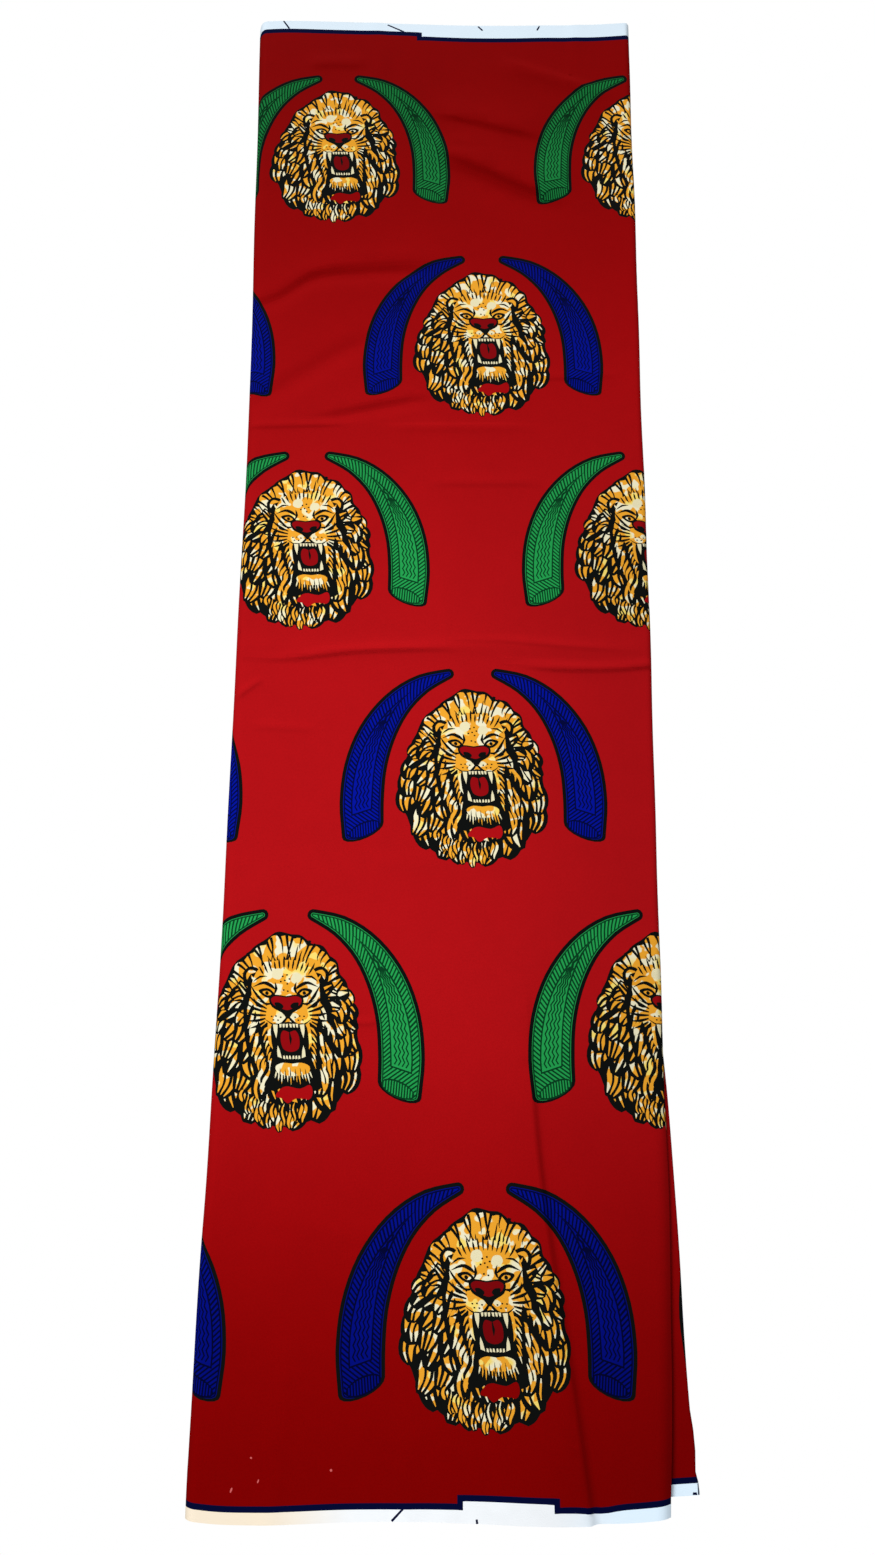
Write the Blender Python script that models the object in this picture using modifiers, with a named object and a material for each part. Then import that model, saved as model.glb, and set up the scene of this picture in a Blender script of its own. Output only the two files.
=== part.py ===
# A length of wax-printed cotton, folded flat and lying on a table.
# One cut of cloth is folded in half four times, so 16 panels lie on each other. The last fold is the
# spine on the left (-X). The open side on the right (+X) has the fold of the upper half of the stack
# and, under it, the folds and free ends of the lower half. The selvedges are the far end (+Y) and the
# near end (-Y). The stack rests on z = 0, and the origin is the middle of that face.

import math

import bmesh
import bpy

MM = 0.001

# Driving sizes, in millimetres
CLOTH_WIDTH = 1170.0    # selvedge to selvedge
WALL = 1.2              # cloth wall, thicker than the real 0.35 mm so that it is solid
GAP = 0.3               # air between neighbouring solids
STACK = 15.5            # height of the whole stack over the table
SLOT_LOW = 5.8          # underside of the lower panel
LOWER_TOP = SLOT_LOW + WALL
UPPER_LOW = LOWER_TOP + GAP      # underside of the upper half of the stack
SPINE_RADIUS = STACK / 2
UPPER_RADIUS = (STACK - UPPER_LOW) / 2
LOWER_RADIUS = 1.9
UPPER_TUCK = 28.0       # how far the outer ply runs back in under the upper half
LOWER_REACH = 60.0      # how far the lower panel runs in between the halves
LOWER_TUCK = 9.0        # how far it runs back in under its own fold
FLANGE_IN = 3.0         # the free end under the stack stops short of the lower fold
CORE_BOTTOM = WALL + GAP
CORE_TOP = STACK - WALL - GAP - 0.5
FREE_TOP = LOWER_TOP - 2 * LOWER_RADIUS - GAP    # top of the plies under the lower panel's fold
GROOVE = 0.8            # depth of the groove between two layers at an edge

# Stretches of hidden layers in the lower half of the stack, from the table up
# bottom, top, layers, distance in from the selvedges, distance in from the right fold
LOWER_STRETCHES = (
    (CORE_BOTTOM, FREE_TOP, 1, 1.0, 1.5),
    (FREE_TOP, SLOT_LOW - GAP, 3, 1.2, LOWER_TUCK + 4.0),
)
SLOT_END_IN = 2.6       # between the halves, distance in from the selvedges
UPPER_LAYERS = 5
UPPER_END_IN = 0.8

# Folded edges, one row for each station along the cloth, near end first
# along, left edge, right edge of the upper half, right edge of the lower half
EDGES = (
    (-CLOTH_WIDTH / 2, -163.8, 140.2, 159.6),
    (-551.0, -164.1, 142.0, 157.8),
    (-518.0, -163.4, 143.9, 155.9),
    (-481.0, -162.8, 145.8, 155.0),
    (-430.0, -162.0, 148.1, 154.9),
    (-384.0, -161.4, 149.4, 154.2),
    (-330.0, -160.6, 149.9, 152.6),
    (-279.0, -160.0, 150.0, 150.2),
    (-167.0, -159.1, 152.0, 149.5),
    (-46.0, -158.3, 155.0, 151.0),
    (85.0, -158.0, 156.4, 152.0),
    (226.0, -157.9, 158.6, 153.5),
    (379.0, -160.1, 160.7, 155.5),
    (CLOTH_WIDTH / 2, -164.1, 164.1, 158.5),
)
LEFT, UPPER_RIGHT, LOWER_RIGHT = 1, 2, 3

# Selvedge lines, one row for each station across the cloth
# across, near end of the upper half, of the lower half, far end of the upper half, of the lower half
ENDS = (
    (-164.0, -582.5, -582.5, 585.0, 584.5),
    (-105.0, -585.0, -583.0, 584.8, 583.0),
    (-20.0, -585.0, -580.0, 584.0, 582.0),
    (60.0, -584.8, -576.5, 582.5, 582.5),
    (115.0, -583.0, -573.5, 581.0, 583.5),
    (164.0, -577.5, -571.0, 585.0, 584.0),
)
NEAR_UPPER, NEAR_LOWER, FAR_UPPER, FAR_LOWER = 1, 2, 3, 4

# The long soft crease at the near right: where it starts, where it ends, and its height there
CREASE_START = (58.0, -215.0)
CREASE_END = (89.0, -CLOTH_WIDTH / 2)
CREASE_HEIGHT = 1.5
CREASE_STEEP = 5.0      # half width of its left side
CREASE_EASY = 13.0      # half width of its right side
# The crease across the middle, where the folded stack was once doubled over
MIDDLE_ALONG = -6.0
MIDDLE_DEPTH = 0.5
MIDDLE_WIDTH = 9.0

MATERIALS = {
    "top_panel": ((0.36, 0.008, 0.012, 1.0), 0.72),
    "lower_panel": ((0.25, 0.006, 0.010, 1.0), 0.74),
    "folded_layers": ((0.30, 0.010, 0.014, 1.0), 0.78),
}


def table_value(rows, column, at):
    """A smooth curve through one column of a table whose first column rises."""
    places = [row[0] for row in rows]
    values = [row[column] for row in rows]
    at = min(max(at, places[0]), places[-1])
    last = len(rows) - 1
    slopes = []
    for index in range(len(rows)):
        before, after = max(index - 1, 0), min(index + 1, last)
        slopes.append((values[after] - values[before]) / (places[after] - places[before]))
    index = next(i for i in range(last) if at <= places[i + 1])
    span = places[index + 1] - places[index]
    t = (at - places[index]) / span
    return (values[index] * (1 + 2 * t) * (1 - t) ** 2
            + slopes[index] * span * t * (1 - t) ** 2
            + values[index + 1] * t * t * (3 - 2 * t)
            + slopes[index + 1] * span * t * t * (t - 1))


def crease_across(along):
    """Where the long crease line, or its lengthening, lies at this station."""
    share = (along - CREASE_START[1]) / (CREASE_END[1] - CREASE_START[1])
    return CREASE_START[0] + share * (CREASE_END[0] - CREASE_START[0])


def top_height(across, along):
    """Height of the outer face of the top panel, with its largest creases."""
    share = (along - CREASE_START[1]) / (CREASE_END[1] - CREASE_START[1])
    rise = CREASE_HEIGHT * min(max(share, 0.0), 1.0) ** 0.7
    off = across - crease_across(along)
    width = CREASE_STEEP if off < 0 else CREASE_EASY
    ridge = rise * math.exp(-((off / width) ** 2))
    trough = MIDDLE_DEPTH * math.exp(-(((along - MIDDLE_ALONG) / MIDDLE_WIDTH) ** 2))
    return STACK + ridge - trough


def spread(start, stop, count):
    """Evenly spaced values from start to stop, both included."""
    return [start + (stop - start) * step / (count - 1) for step in range(count)]


def station(share):
    """The nominal place along the cloth for a share from 0, near, to 1, far."""
    return CLOTH_WIDTH * (share - 0.5)


def end_along(across, share, near, far):
    """A place between the near and the far selvedge, from 0 to 1."""
    low = table_value(ENDS, near, across)
    high = table_value(ENDS, far, across)
    return low + (high - low) * share


def outer_section(along):
    """The outer face of the outermost ply, from the table, round the spine, to its tuck on the right."""
    left = table_value(EDGES, LEFT, along)
    right = table_value(EDGES, UPPER_RIGHT, along)
    free_end = table_value(EDGES, LOWER_RIGHT, along) - FLANGE_IN
    fold_x = right - UPPER_RADIUS
    spine_x = left + SPINE_RADIUS
    crest = crease_across(along)
    points = [(x, UPPER_LOW) for x in spread(right - UPPER_TUCK, fold_x, 4)[:-1]]
    for turn in spread(-90.0, 90.0, 10):
        angle = math.radians(turn)
        points.append((fold_x + UPPER_RADIUS * math.cos(angle),
                       UPPER_LOW + UPPER_RADIUS * (1 + math.sin(angle))))
    across = spread(fold_x, crest + 2 * CREASE_EASY, 5)[1:]
    across += [crest + CREASE_EASY, crest + CREASE_EASY / 2, crest]
    across += [crest - CREASE_STEEP, crest - 2.5 * CREASE_STEEP]
    across += spread(crest - 2.5 * CREASE_STEEP, spine_x, 13)[1:-1]
    points += [(x, None) for x in across]
    for turn in spread(90.0, 270.0, 14):
        angle = math.radians(turn)
        points.append((spine_x + SPINE_RADIUS * math.cos(angle),
                       SPINE_RADIUS * (1 + math.sin(angle))))
    points += [(x, 0.0) for x in spread(spine_x, free_end, 9)[1:]]
    return points[::-1]


def outer_point(column, share):
    """One point of the outermost ply's face, from its column in the section and its share along."""
    across, height = outer_section(station(share))[column]
    under_stack = height is not None and height < UPPER_LOW
    near, far = (NEAR_LOWER, FAR_LOWER) if under_stack else (NEAR_UPPER, FAR_UPPER)
    along = end_along(across, share, near, far)
    across, height = outer_section(along)[column]
    if height is None:
        height = top_height(across, along)
    return across, along, height


def lower_section(along):
    """The outer face of the lower panel, from between the halves to the tuck under its fold."""
    right = table_value(EDGES, LOWER_RIGHT, along)
    fold_x = right - LOWER_RADIUS
    points = [(x, LOWER_TOP) for x in spread(right - LOWER_REACH, fold_x, 7)[:-1]]
    for turn in spread(90.0, -90.0, 9):
        angle = math.radians(turn)
        points.append((fold_x + LOWER_RADIUS * math.cos(angle),
                       LOWER_TOP + LOWER_RADIUS * (math.sin(angle) - 1)))
    points += [(x, LOWER_TOP - 2 * LOWER_RADIUS) for x in spread(fold_x, right - LOWER_TUCK, 3)[1:]]
    return points


def lower_point(column, share):
    """One point of the lower panel's face."""
    across = lower_section(station(share))[column][0]
    along = end_along(across, share, NEAR_LOWER, FAR_LOWER)
    across, height = lower_section(along)[column]
    return across, along, height


def layer_bands(bottom, top, count):
    """Heights and insets of rounded layers stacked from bottom to top, with a groove between each."""
    thick = (top - bottom) / count
    bands = []
    for layer in range(count):
        low = bottom + layer * thick
        bands += [(low + 0.06 * thick, GROOVE), (low + 0.35 * thick, 0.15), (low + 0.72 * thick, 0.2)]
    return bands + [(top, GROOVE)]


def core_rings():
    """Rings of the hidden layers, from the bottom up.

    Each ring has its height, how far it lies in from the selvedges, how far in from its right fold,
    and whether that fold is the upper half's.
    """
    rings = []
    for bottom, top, count, end_in, right_in in LOWER_STRETCHES:
        rings += [(height, end_in + inset, right_in + inset, False)
                  for height, inset in layer_bands(bottom, top, count)]
    slot_high = UPPER_LOW + WALL + GAP
    slot_in = LOWER_REACH + 1.0
    rings += [(SLOT_LOW - GAP, SLOT_END_IN, slot_in, False), (slot_high, SLOT_END_IN, slot_in, False)]
    inner = UPPER_RADIUS - WALL - GAP
    for height, inset in layer_bands(slot_high, CORE_TOP, UPPER_LAYERS):
        rise = min(abs(height - UPPER_LOW - UPPER_RADIUS), inner)
        right_in = UPPER_RADIUS - math.sqrt(inner * inner - rise * rise)
        rings.append((height, UPPER_END_IN + inset, right_in + inset, True))
    return rings


def core_ring(height, end_in, right_in, is_upper):
    """The outline of the hidden layers at one height."""
    near, far = (NEAR_UPPER, FAR_UPPER) if is_upper else (NEAR_LOWER, FAR_LOWER)
    column = UPPER_RIGHT if is_upper else LOWER_RIGHT
    inner = SPINE_RADIUS - WALL - GAP
    rise = min(abs(height - SPINE_RADIUS), inner)
    left_in = SPINE_RADIUS - math.sqrt(inner * inner - rise * rise)

    def corner(share_across, share):
        left = table_value(EDGES, LEFT, station(share)) + left_in
        right = table_value(EDGES, column, station(share)) - right_in
        across = left + (right - left) * share_across
        low = table_value(ENDS, near, across) + end_in
        high = table_value(ENDS, far, across) - end_in
        return across, low + (high - low) * share, height

    sides = spread(0.0, 1.0, 17)
    ends = spread(0.0, 1.0, 9)
    outline = [corner(1.0, share) for share in sides[:-1]]
    outline += [corner(share, 1.0) for share in reversed(ends[1:])]
    outline += [corner(0.0, share) for share in reversed(sides[1:])]
    outline += [corner(share, 0.0) for share in ends[:-1]]
    return outline


def new_object(name, mesh_builder, collection):
    """Turn a finished bmesh into a named object with its own material."""
    mesh = bpy.data.meshes.new(name)
    mesh_builder.to_mesh(mesh)
    mesh_builder.free()
    colour, roughness = MATERIALS[name]
    material = bpy.data.materials.new(name + "_cloth")
    material.use_nodes = True
    shader = material.node_tree.nodes["Principled BSDF"]
    shader.inputs["Base Color"].default_value = colour
    shader.inputs["Roughness"].default_value = roughness
    shader.inputs["Metallic"].default_value = 0.0
    mesh.materials.append(material)
    mesh.shade_smooth()
    part = bpy.data.objects.new(name, mesh)
    collection.objects.link(part)
    return part


def make_panel(name, point, columns, shares, collection):
    """A cloth wall: a grid laid on the outer face, thickened inwards."""
    builder = bmesh.new()
    bmesh.ops.create_grid(builder, x_segments=columns - 1, y_segments=len(shares) - 1, size=0.5)
    for vert in builder.verts:
        column = round((vert.co.x + 0.5) * (columns - 1))
        row = round((vert.co.y + 0.5) * (len(shares) - 1))
        vert.co = [value * MM for value in point(column, shares[row])]
    panel = new_object(name, builder, collection)
    wall = panel.modifiers.new("Wall", "SOLIDIFY")
    wall.thickness = WALL * MM
    wall.offset = -1.0
    wall.use_even_offset = True
    return panel


def make_layers(name, collection):
    """The hidden plies: outlines stacked in height, bridged and capped flat."""
    builder = bmesh.new()
    loops = []
    for ring in core_rings():
        verts = [builder.verts.new([value * MM for value in place]) for place in core_ring(*ring)]
        loops.append([builder.edges.new((verts[i - 1], verts[i])) for i in range(len(verts))])
    for lower, upper in zip(loops, loops[1:]):
        bmesh.ops.bridge_loops(builder, edges=lower + upper)
    bmesh.ops.contextual_create(builder, geom=loops[0])
    bmesh.ops.contextual_create(builder, geom=loops[-1])
    bmesh.ops.recalc_face_normals(builder, faces=builder.faces)
    return new_object(name, builder, collection)


def main():
    for old in list(bpy.data.objects):
        bpy.data.objects.remove(old, do_unlink=True)
    collection = bpy.data.collections.new("folded_ankara_fabric")
    bpy.context.scene.collection.children.link(collection)

    middle = 0.5 + MIDDLE_ALONG / CLOTH_WIDTH
    half_width = MIDDLE_WIDTH / CLOTH_WIDTH
    near_side = [0.0, 0.01] + spread(0.045, middle - 3 * half_width, 12)
    crossing = [middle - half_width, middle, middle + half_width]
    far_side = spread(middle + 3 * half_width, 0.955, 10) + [0.99, 1.0]
    shares = near_side + crossing + far_side

    make_panel("top_panel", outer_point, len(outer_section(0.0)), shares, collection)
    make_panel("lower_panel", lower_point, len(lower_section(0.0)), shares, collection)
    make_layers("folded_layers", collection)


main()
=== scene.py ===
import bisect
import random
from math import ceil, cos, exp, hypot, pi, radians, sin, sqrt, tan

import bmesh
import bpy
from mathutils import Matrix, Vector
from mathutils.bvhtree import BVHTree
from mathutils.geometry import delaunay_2d_cdt


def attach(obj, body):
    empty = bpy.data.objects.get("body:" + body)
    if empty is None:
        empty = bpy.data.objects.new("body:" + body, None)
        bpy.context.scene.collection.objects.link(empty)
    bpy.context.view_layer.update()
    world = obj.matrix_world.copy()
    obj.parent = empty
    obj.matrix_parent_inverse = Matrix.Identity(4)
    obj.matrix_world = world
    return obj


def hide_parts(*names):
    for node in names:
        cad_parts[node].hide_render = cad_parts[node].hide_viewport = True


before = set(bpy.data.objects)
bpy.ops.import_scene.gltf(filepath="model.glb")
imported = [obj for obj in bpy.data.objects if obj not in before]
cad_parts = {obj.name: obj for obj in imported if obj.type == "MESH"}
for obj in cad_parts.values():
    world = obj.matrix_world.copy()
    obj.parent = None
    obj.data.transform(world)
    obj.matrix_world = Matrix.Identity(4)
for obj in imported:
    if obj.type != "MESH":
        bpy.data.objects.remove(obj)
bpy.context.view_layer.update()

# Lengths are millimetres until a mesh is made. Across is X, along is Y.
mm = 0.001

# What a user may want to change: each piece's values stand beside its code further down
plyThick = 0.35  # one ply of the cotton
halfLength = 585.0  # half the cloth's width, which lies along Y from selvedge to selvedge
inks = {  # sRGB colours of the print, in the order of their numbers
    "ground": (159, 12, 17),
    "black": (12, 14, 13),
    "lion": (222, 154, 42),
    "red": (136, 8, 14),
    "tooth": (218, 210, 172),
    "greenBright": (32, 146, 72),
    "greenDark": (6, 56, 28),
    "blueBright": (2, 16, 140),
    "blueDark": (2, 6, 54),
    "line": (3, 8, 46),
    "edge": (236, 240, 244),
    "lint": (196, 92, 92),
}
inkNames = list(inks)

# Folded edges, one row for each station along the cloth, near end first:
# along, left edge, right edge of the upper half of the stack, right edge of the lower half
edges = (
    (-585.0, -164.6, 140.4, 161.0),
    (-565.0, -164.9, 141.4, 159.9),
    (-555.0, -164.8, 142.0, 157.9),
    (-541.0, -164.5, 142.8, 159.4),
    (-530.0, -164.3, 143.4, 157.5),
    (-518.0, -164.0, 144.0, 156.7),
    (-481.0, -163.4, 145.9, 155.8),
    (-430.0, -162.6, 148.2, 155.4),
    (-384.0, -161.4, 149.4, 154.2),
    (-330.0, -160.6, 149.9, 152.6),
    (-279.0, -160.0, 150.0, 150.2),
    (-167.0, -159.1, 152.0, 149.5),
    (-46.0, -158.3, 155.0, 151.0),
    (85.0, -158.0, 156.4, 152.0),
    (226.0, -157.9, 158.6, 153.5),
    (379.0, -160.1, 160.7, 155.5),
    (585.0, -164.1, 164.1, 158.5),
)
# Selvedge lines, one row for each station across the cloth:
# across, near end of the upper half, of the lower half, far end of the upper half, of the lower half
ends = (
    (-164.0, -583.0, -582.5, 588.3, 584.5),
    (-140.0, -585.0, -583.0, 589.4, 583.8),
    (-105.0, -585.2, -583.0, 588.6, 583.0),
    (-60.0, -583.6, -581.6, 587.0, 582.4),
    (-20.0, -583.4, -580.0, 585.4, 582.0),
    (16.0, -584.2, -578.3, 584.2, 582.2),
    (60.0, -585.2, -576.5, 583.9, 582.5),
    (90.0, -584.8, -574.8, 584.4, 583.1),
    (115.0, -584.2, -573.5, 584.4, 583.5),
    (140.0, -582.2, -572.2, 585.6, 583.8),
    (164.0, -579.0, -571.0, 587.4, 584.0),
)
# Heights of the two halves of the folded stack, and how far its plies run in from their folds
stack = {"top": 15.5, "upperLow": 7.3, "lowerTop": 7.0, "lowerRadius": 1.9, "upperTuck": 28.0,
         "lowerReach": 60.0, "lowerTuck": 9.0, "freeEndIn": 3.0}
spineRadius = stack["top"] / 2
upperRadius = (stack["top"] - stack["upperLow"]) / 2


def smoothCurve(rows, column):
    # a smooth curve through one column of a table whose first column rises
    places = [row[0] for row in rows]
    values = [row[column] for row in rows]
    last = len(rows) - 1
    around = [(max(i - 1, 0), min(i + 1, last)) for i in range(len(rows))]
    slopes = [(values[j] - values[i]) / (places[j] - places[i]) for i, j in around]

    def value(at):
        at = min(max(at, places[0]), places[-1])
        i = min(max(bisect.bisect_left(places, at) - 1, 0), last - 1)
        span = places[i + 1] - places[i]
        t = (at - places[i]) / span
        return (values[i] * (1 + 2 * t) * (1 - t) ** 2 + slopes[i] * span * t * (1 - t) ** 2
                + values[i + 1] * t * t * (3 - 2 * t) + slopes[i + 1] * span * t * t * (t - 1))

    return value


leftEdge, upperEdge, lowerEdge = (smoothCurve(edges, column) for column in (1, 2, 3))
nearUpper, nearLower, farUpper, farLower = (smoothCurve(ends, column) for column in (1, 2, 3, 4))


def ease(value):
    # 0 below 0, 1 above 1, smooth between
    value = min(max(value, 0.0), 1.0)
    return value * value * (3 - 2 * value)


def clear(low, high, value):
    return ease((value - low) / (high - low))


def evenly(start, stop, pitch):
    # values from start to stop, both included, about pitch apart
    count = max(int(ceil(abs(stop - start) / pitch)), 1)
    return [start + (stop - start) * i / count for i in range(count + 1)]


def smoothLine(points, steps):
    # a Catmull-Rom line through a few chosen points
    line = []
    for i in range(len(points) - 1):
        a, b, c, d = points[max(i - 1, 0)], points[i], points[i + 1], points[min(i + 2, len(points) - 1)]
        for t in (step / steps for step in range(steps)):
            line.append(tuple(0.5 * (2 * q + (r - p) * t + (2 * p - 5 * q + 4 * r - s) * t * t
                                     + (3 * q - p - 3 * r + s) * t ** 3) for p, q, r, s in zip(a, b, c, d)))
    return line + [tuple(points[-1])]


# Creases of the top, placed as the photo shows them. A row has the height (a trough's is negative), the
# widths to the right and to the left of its way, how much of the height is left at its first and at its
# last end, and then the points of its line (across, along).
creases = (
    # the step of the long fold at the near right, and the hollow at its foot
    (4.2, 60.0, 3.6, 0, 1, (51.8, -229), (54.8, -279), (57.8, -335), (61.2, -379), (66.2, -421),
     (73.6, -474), (79, -510), (84, -550), (89, -590)),
    (-0.6, 3.0, 9.0, 0, 1, (62, -330), (70, -400), (83, -480), (97, -590)),
    # the far end of the folded stack stands up a little
    (3.0, 110.0, 110.0, 1, 1, (-240, 600), (0, 600), (240, 600)),
    # where the folded stack was once doubled over
    (0.7, 7.0, 8.0, 0.7, 0.7, (-170, 0), (-60, -3), (40, -1), (170, -5)),
    (1.35, 2.2, 4.4, 0.2, 0, (-152, -9), (-119, -10.5), (-69, -4.4), (-9, -2.4), (24, -4)),
    (1.6, 2.3, 4.4, 0, 1, (48, -14), (81, -18.2), (124, -18.6), (164, -15)),
    (0.6, 2.0, 3.4, 0, 0, (-2, 4), (41, 4), (96, -1), (150, -4)),
    (0.9, 2.0, 3.4, 0.7, 0, (-159, -44.5), (-156, -41.7), (-139, -28.7), (-134, -26)),
    (0.5, 2.6, 4.0, 0, 0, (-148, -64), (-120, -65), (-92, -67)),
    # broad ones across the far half, whose hollows have their steep side away from the viewer
    (-2.0, 7.5, 5.0, 0.5, 0, (-162, 294), (-135, 306), (-103, 326), (-26, 331), (10, 329)),
    (1.0, 5.0, 12.0, 0.5, 0, (-158, 303), (-132, 315), (-100, 337), (-30, 344), (20, 342)),
    (-1.8, 10.0, 7.0, 0.6, 0, (-152, 208), (-136, 218), (-83, 255), (-46, 272)),
    (-1.3, 6.0, 4.0, 0, 0, (-114, 192), (-89, 195), (-30, 207), (0, 210)),
    (0.7, 4.0, 10.0, 0, 0, (-110, 199), (-89, 203), (-30, 215), (-4, 219)),
    (1.0, 5.0, 2.2, 0, 0, (-60, 186.6), (-30, 186.6), (54, 186.6), (80, 184)),
    (1.0, 1.9, 4.0, 0.6, 0, (-160, 187), (-152, 186.5), (-83, 188.5), (-70, 190)),
    (0.8, 2.6, 6.0, 0, 0, (-20, 136), (-4, 136), (59, 136), (84, 133)),
    (0.7, 2.4, 5.0, 0, 0, (40, 229), (96, 231), (150, 234)),
    # slanting ones near the far end
    (2.6, 3.8, 20.0, 0, 0, (-18, 495), (2.8, 489), (68.8, 471), (92, 463)),
    (3.8, 5.0, 26.0, 0, 0, (-14, 459), (8.8, 447.5), (73.8, 415), (108, 398)),
    (-1.6, 16.0, 5.0, 0, 0, (-22, 446), (4, 434), (70, 401), (104, 386)),
    (1.8, 9.0, 5.0, 0, 0, (40, 549), (64.8, 539.7), (122.8, 517.7), (150, 507)),
    (1.4, 4.4, 8.0, 0, 0, (-124, 541), (-106, 543), (-80, 543), (-64, 541)),
    # small ones
    (0.6, 2.0, 3.0, 0, 0, (-74, -276), (-56, -279), (-42, -276)),
    (-0.25, 8.0, 9.0, 0, 0, (-150, -150), (-60, -158), (20, -150)),
    (0.35, 7.0, 9.0, 0, 0, (-130, -400), (-70, -416), (-10, -410)),
    (0.5, 6.0, 8.0, 1, 0, (-112, -590), (-104, -520), (-108, -470)),
    (0.4, 6.0, 7.0, 1, 0, (-28, -590), (-22, -545), (-26, -520)),
    (0.4, 7.0, 6.0, 1, 0, (-60, 590), (-54, 545), (-58, 520)),
    (0.45, 6.0, 8.0, 1, 0, (118, 590), (112, 540), (116, 500)),
)


def distances(line):
    # how far each point of a line lies from its first one, along it
    found = [0.0]
    for a, b in zip(line, line[1:]):
        found.append(found[-1] + hypot(b[0] - a[0], b[1] - a[1]))
    return found


def preparedCreases():
    found = []
    for height, right, left, first, last, *points in creases:
        line = [Vector(point) for point in smoothLine(points, 6)]
        reach = 2.6 * max(right, left)
        box = (min(p.x for p in line) - reach, max(p.x for p in line) + reach,
               min(p.y for p in line) - reach, max(p.y for p in line) + reach)
        found.append((line, distances(line), box, height, (right, left), (first, last)))
    return found


def relief(across, along, least=0.0):
    # how far the creases at least so wide lift the top at a place
    total = 0.0
    for line, travelled, box, height, sides, stays in creaseLines:
        if max(sides) < least or not (box[0] < across < box[1] and box[2] < along < box[3]):
            continue
        nearest = None
        for i in range(len(line) - 1):
            a, b = line[i], line[i + 1]
            dx, dy = b.x - a.x, b.y - a.y
            length = travelled[i + 1] - travelled[i]
            t = min(max(((across - a.x) * dx + (along - a.y) * dy) / length ** 2, 0.0), 1.0)
            x, y = across - a.x - t * dx, along - a.y - t * dy
            distance = hypot(x, y)
            if nearest is None or distance < nearest[0]:
                nearest = (distance, x * dy - y * dx, (travelled[i] + t * length) / travelled[-1])
        distance, side, share = nearest
        width = sides[1] if side < 0 else sides[0]
        first = stays[0] + (1 - stays[0]) * clear(0.0, 0.3, share)
        last = stays[1] + (1 - stays[1]) * clear(0.0, 0.3, 1 - share)
        total += height * first * last * exp(-(distance / width) ** 2)
    return total


# The lion's head: how far the mane reaches from the head's centre, and the hair's own sizes
lionSizes = {"halfWide": 51.2, "above": 45.4, "below": 87.4, "centreDrop": 8.0, "widestDrop": 31.0,
             "crownRound": 1.95, "beardRound": 2.3, "outline": 1.7, "strandGap": 1.1, "turned": 0.13}
# how the hair lies from the crown (0) to the chin (1): share, heading at the tip, how far it bends to it
hairLies = ((0.0, 76.0, -16.0), (0.12, 52.0, -46.0), (0.2, 34.0, -58.0), (0.34, -4.0, -70.0),
            (0.5, -52.0, -52.0), (0.68, -80.0, -34.0), (0.85, -92.0, -14.0), (1.0, -90.0, 0.0))
# rings of the mane, outermost first: where its locks end as a share of the reach, how many there are, their
# length, how many strands each has, the strands' width
maneRings = ((0.97, 32, 24.0, 3, 3.0), (0.81, 27, 24.0, 3, 2.8), (0.64, 22, 21.0, 2, 3.2))

# The tusk's middle line from its cut end to its tip: across, up, width
tuskLine = ((-80.0, -61.0, 30.8), (-81.2, -40.0, 32.2), (-78.8, -13.5, 31.2), (-70.8, 11.8, 28.2),
            (-57.0, 34.0, 22.8), (-38.6, 50.0, 16.4), (-18.0, 58.6, 8.6))
# its rims: how far in each begins, and its ink
tuskRims = ((0.0, "black"), (2.6, "bright"), (3.0, "dark"), (3.9, "bright"))
tuskSizes = {"band": 4.4, "line": 1.0, "hatchStep": 3.1, "hatchWide": 1.4, "hatchLean": 0.8,
             "panelLow": 13.0, "panelShare": 0.8, "grainStep": 3.2, "grainReach": 0.85, "grainWide": 1.0,
             "ovalLong": 10.8, "ovalTall": 4.8, "ovalTilt": 16.0, "lowTall": 6.8}


def towards(angle):
    # a step of length 1 in a direction, in degrees from straight right
    return cos(radians(angle)), sin(radians(angle))


def closedCurve(points, steps=3):
    # a smooth ring through a few chosen points
    ring = list(points) + list(points[:3])
    return smoothLine(ring, steps)[steps:steps * (len(points) + 1)]


def oval(x, y, long, tall, tilt=0.0, count=16):
    c, s = towards(tilt)
    ring = [(long * cos(a), tall * sin(a)) for a in (2 * pi * k / count for k in range(count))]
    return [(x + u * c - v * s, y + u * s + v * c) for u, v in ring]


def wayAt(line, i, ahead=1):
    # which way a line runs at one of its points, as a step of length 1
    before, after = line[max(i - 1, 0)], line[min(i + ahead, len(line) - 1)]
    dx, dy = after[0] - before[0], after[1] - before[1]
    length = hypot(dx, dy)
    return dx / length, dy / length


def brush(points, grow=0.0, steps=3):
    # a brush stroke through (across, up, width) points, as one outline
    line = smoothLine(points, steps)
    left, right = [], []
    for i, (x, y, width) in enumerate(line):
        stepX, stepY = wayAt(line, i)
        half = max(width, 0.0) / 2 + grow
        left.append((x - stepY * half, y + stepX * half))
        right.append((x + stepY * half, y - stepX * half))
    return left + right[::-1]


def hairPath(x, y, heading, length, curl, wave):
    # the middle line of a lock, as (across, up, share) points: it bends by curl degrees and snakes
    path = [(x, y, 0.0)]
    steps = 6
    for k in range(1, steps + 1):
        share = k / steps
        turn = radians(heading + curl * share + wave * sin(2 * pi * (share + 0.1)))
        x += length / steps * cos(turn)
        y += length / steps * sin(turn)
        path.append((x, y, share))
    return path


def lockTo(x, y, heading, length, curl, wave):
    # a lock's middle line that ends at a place with a heading
    back = hairPath(x, y, heading + 180, length, -curl, wave)
    return [(px, py, 1 - share) for px, py, share in back[::-1]]


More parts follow.
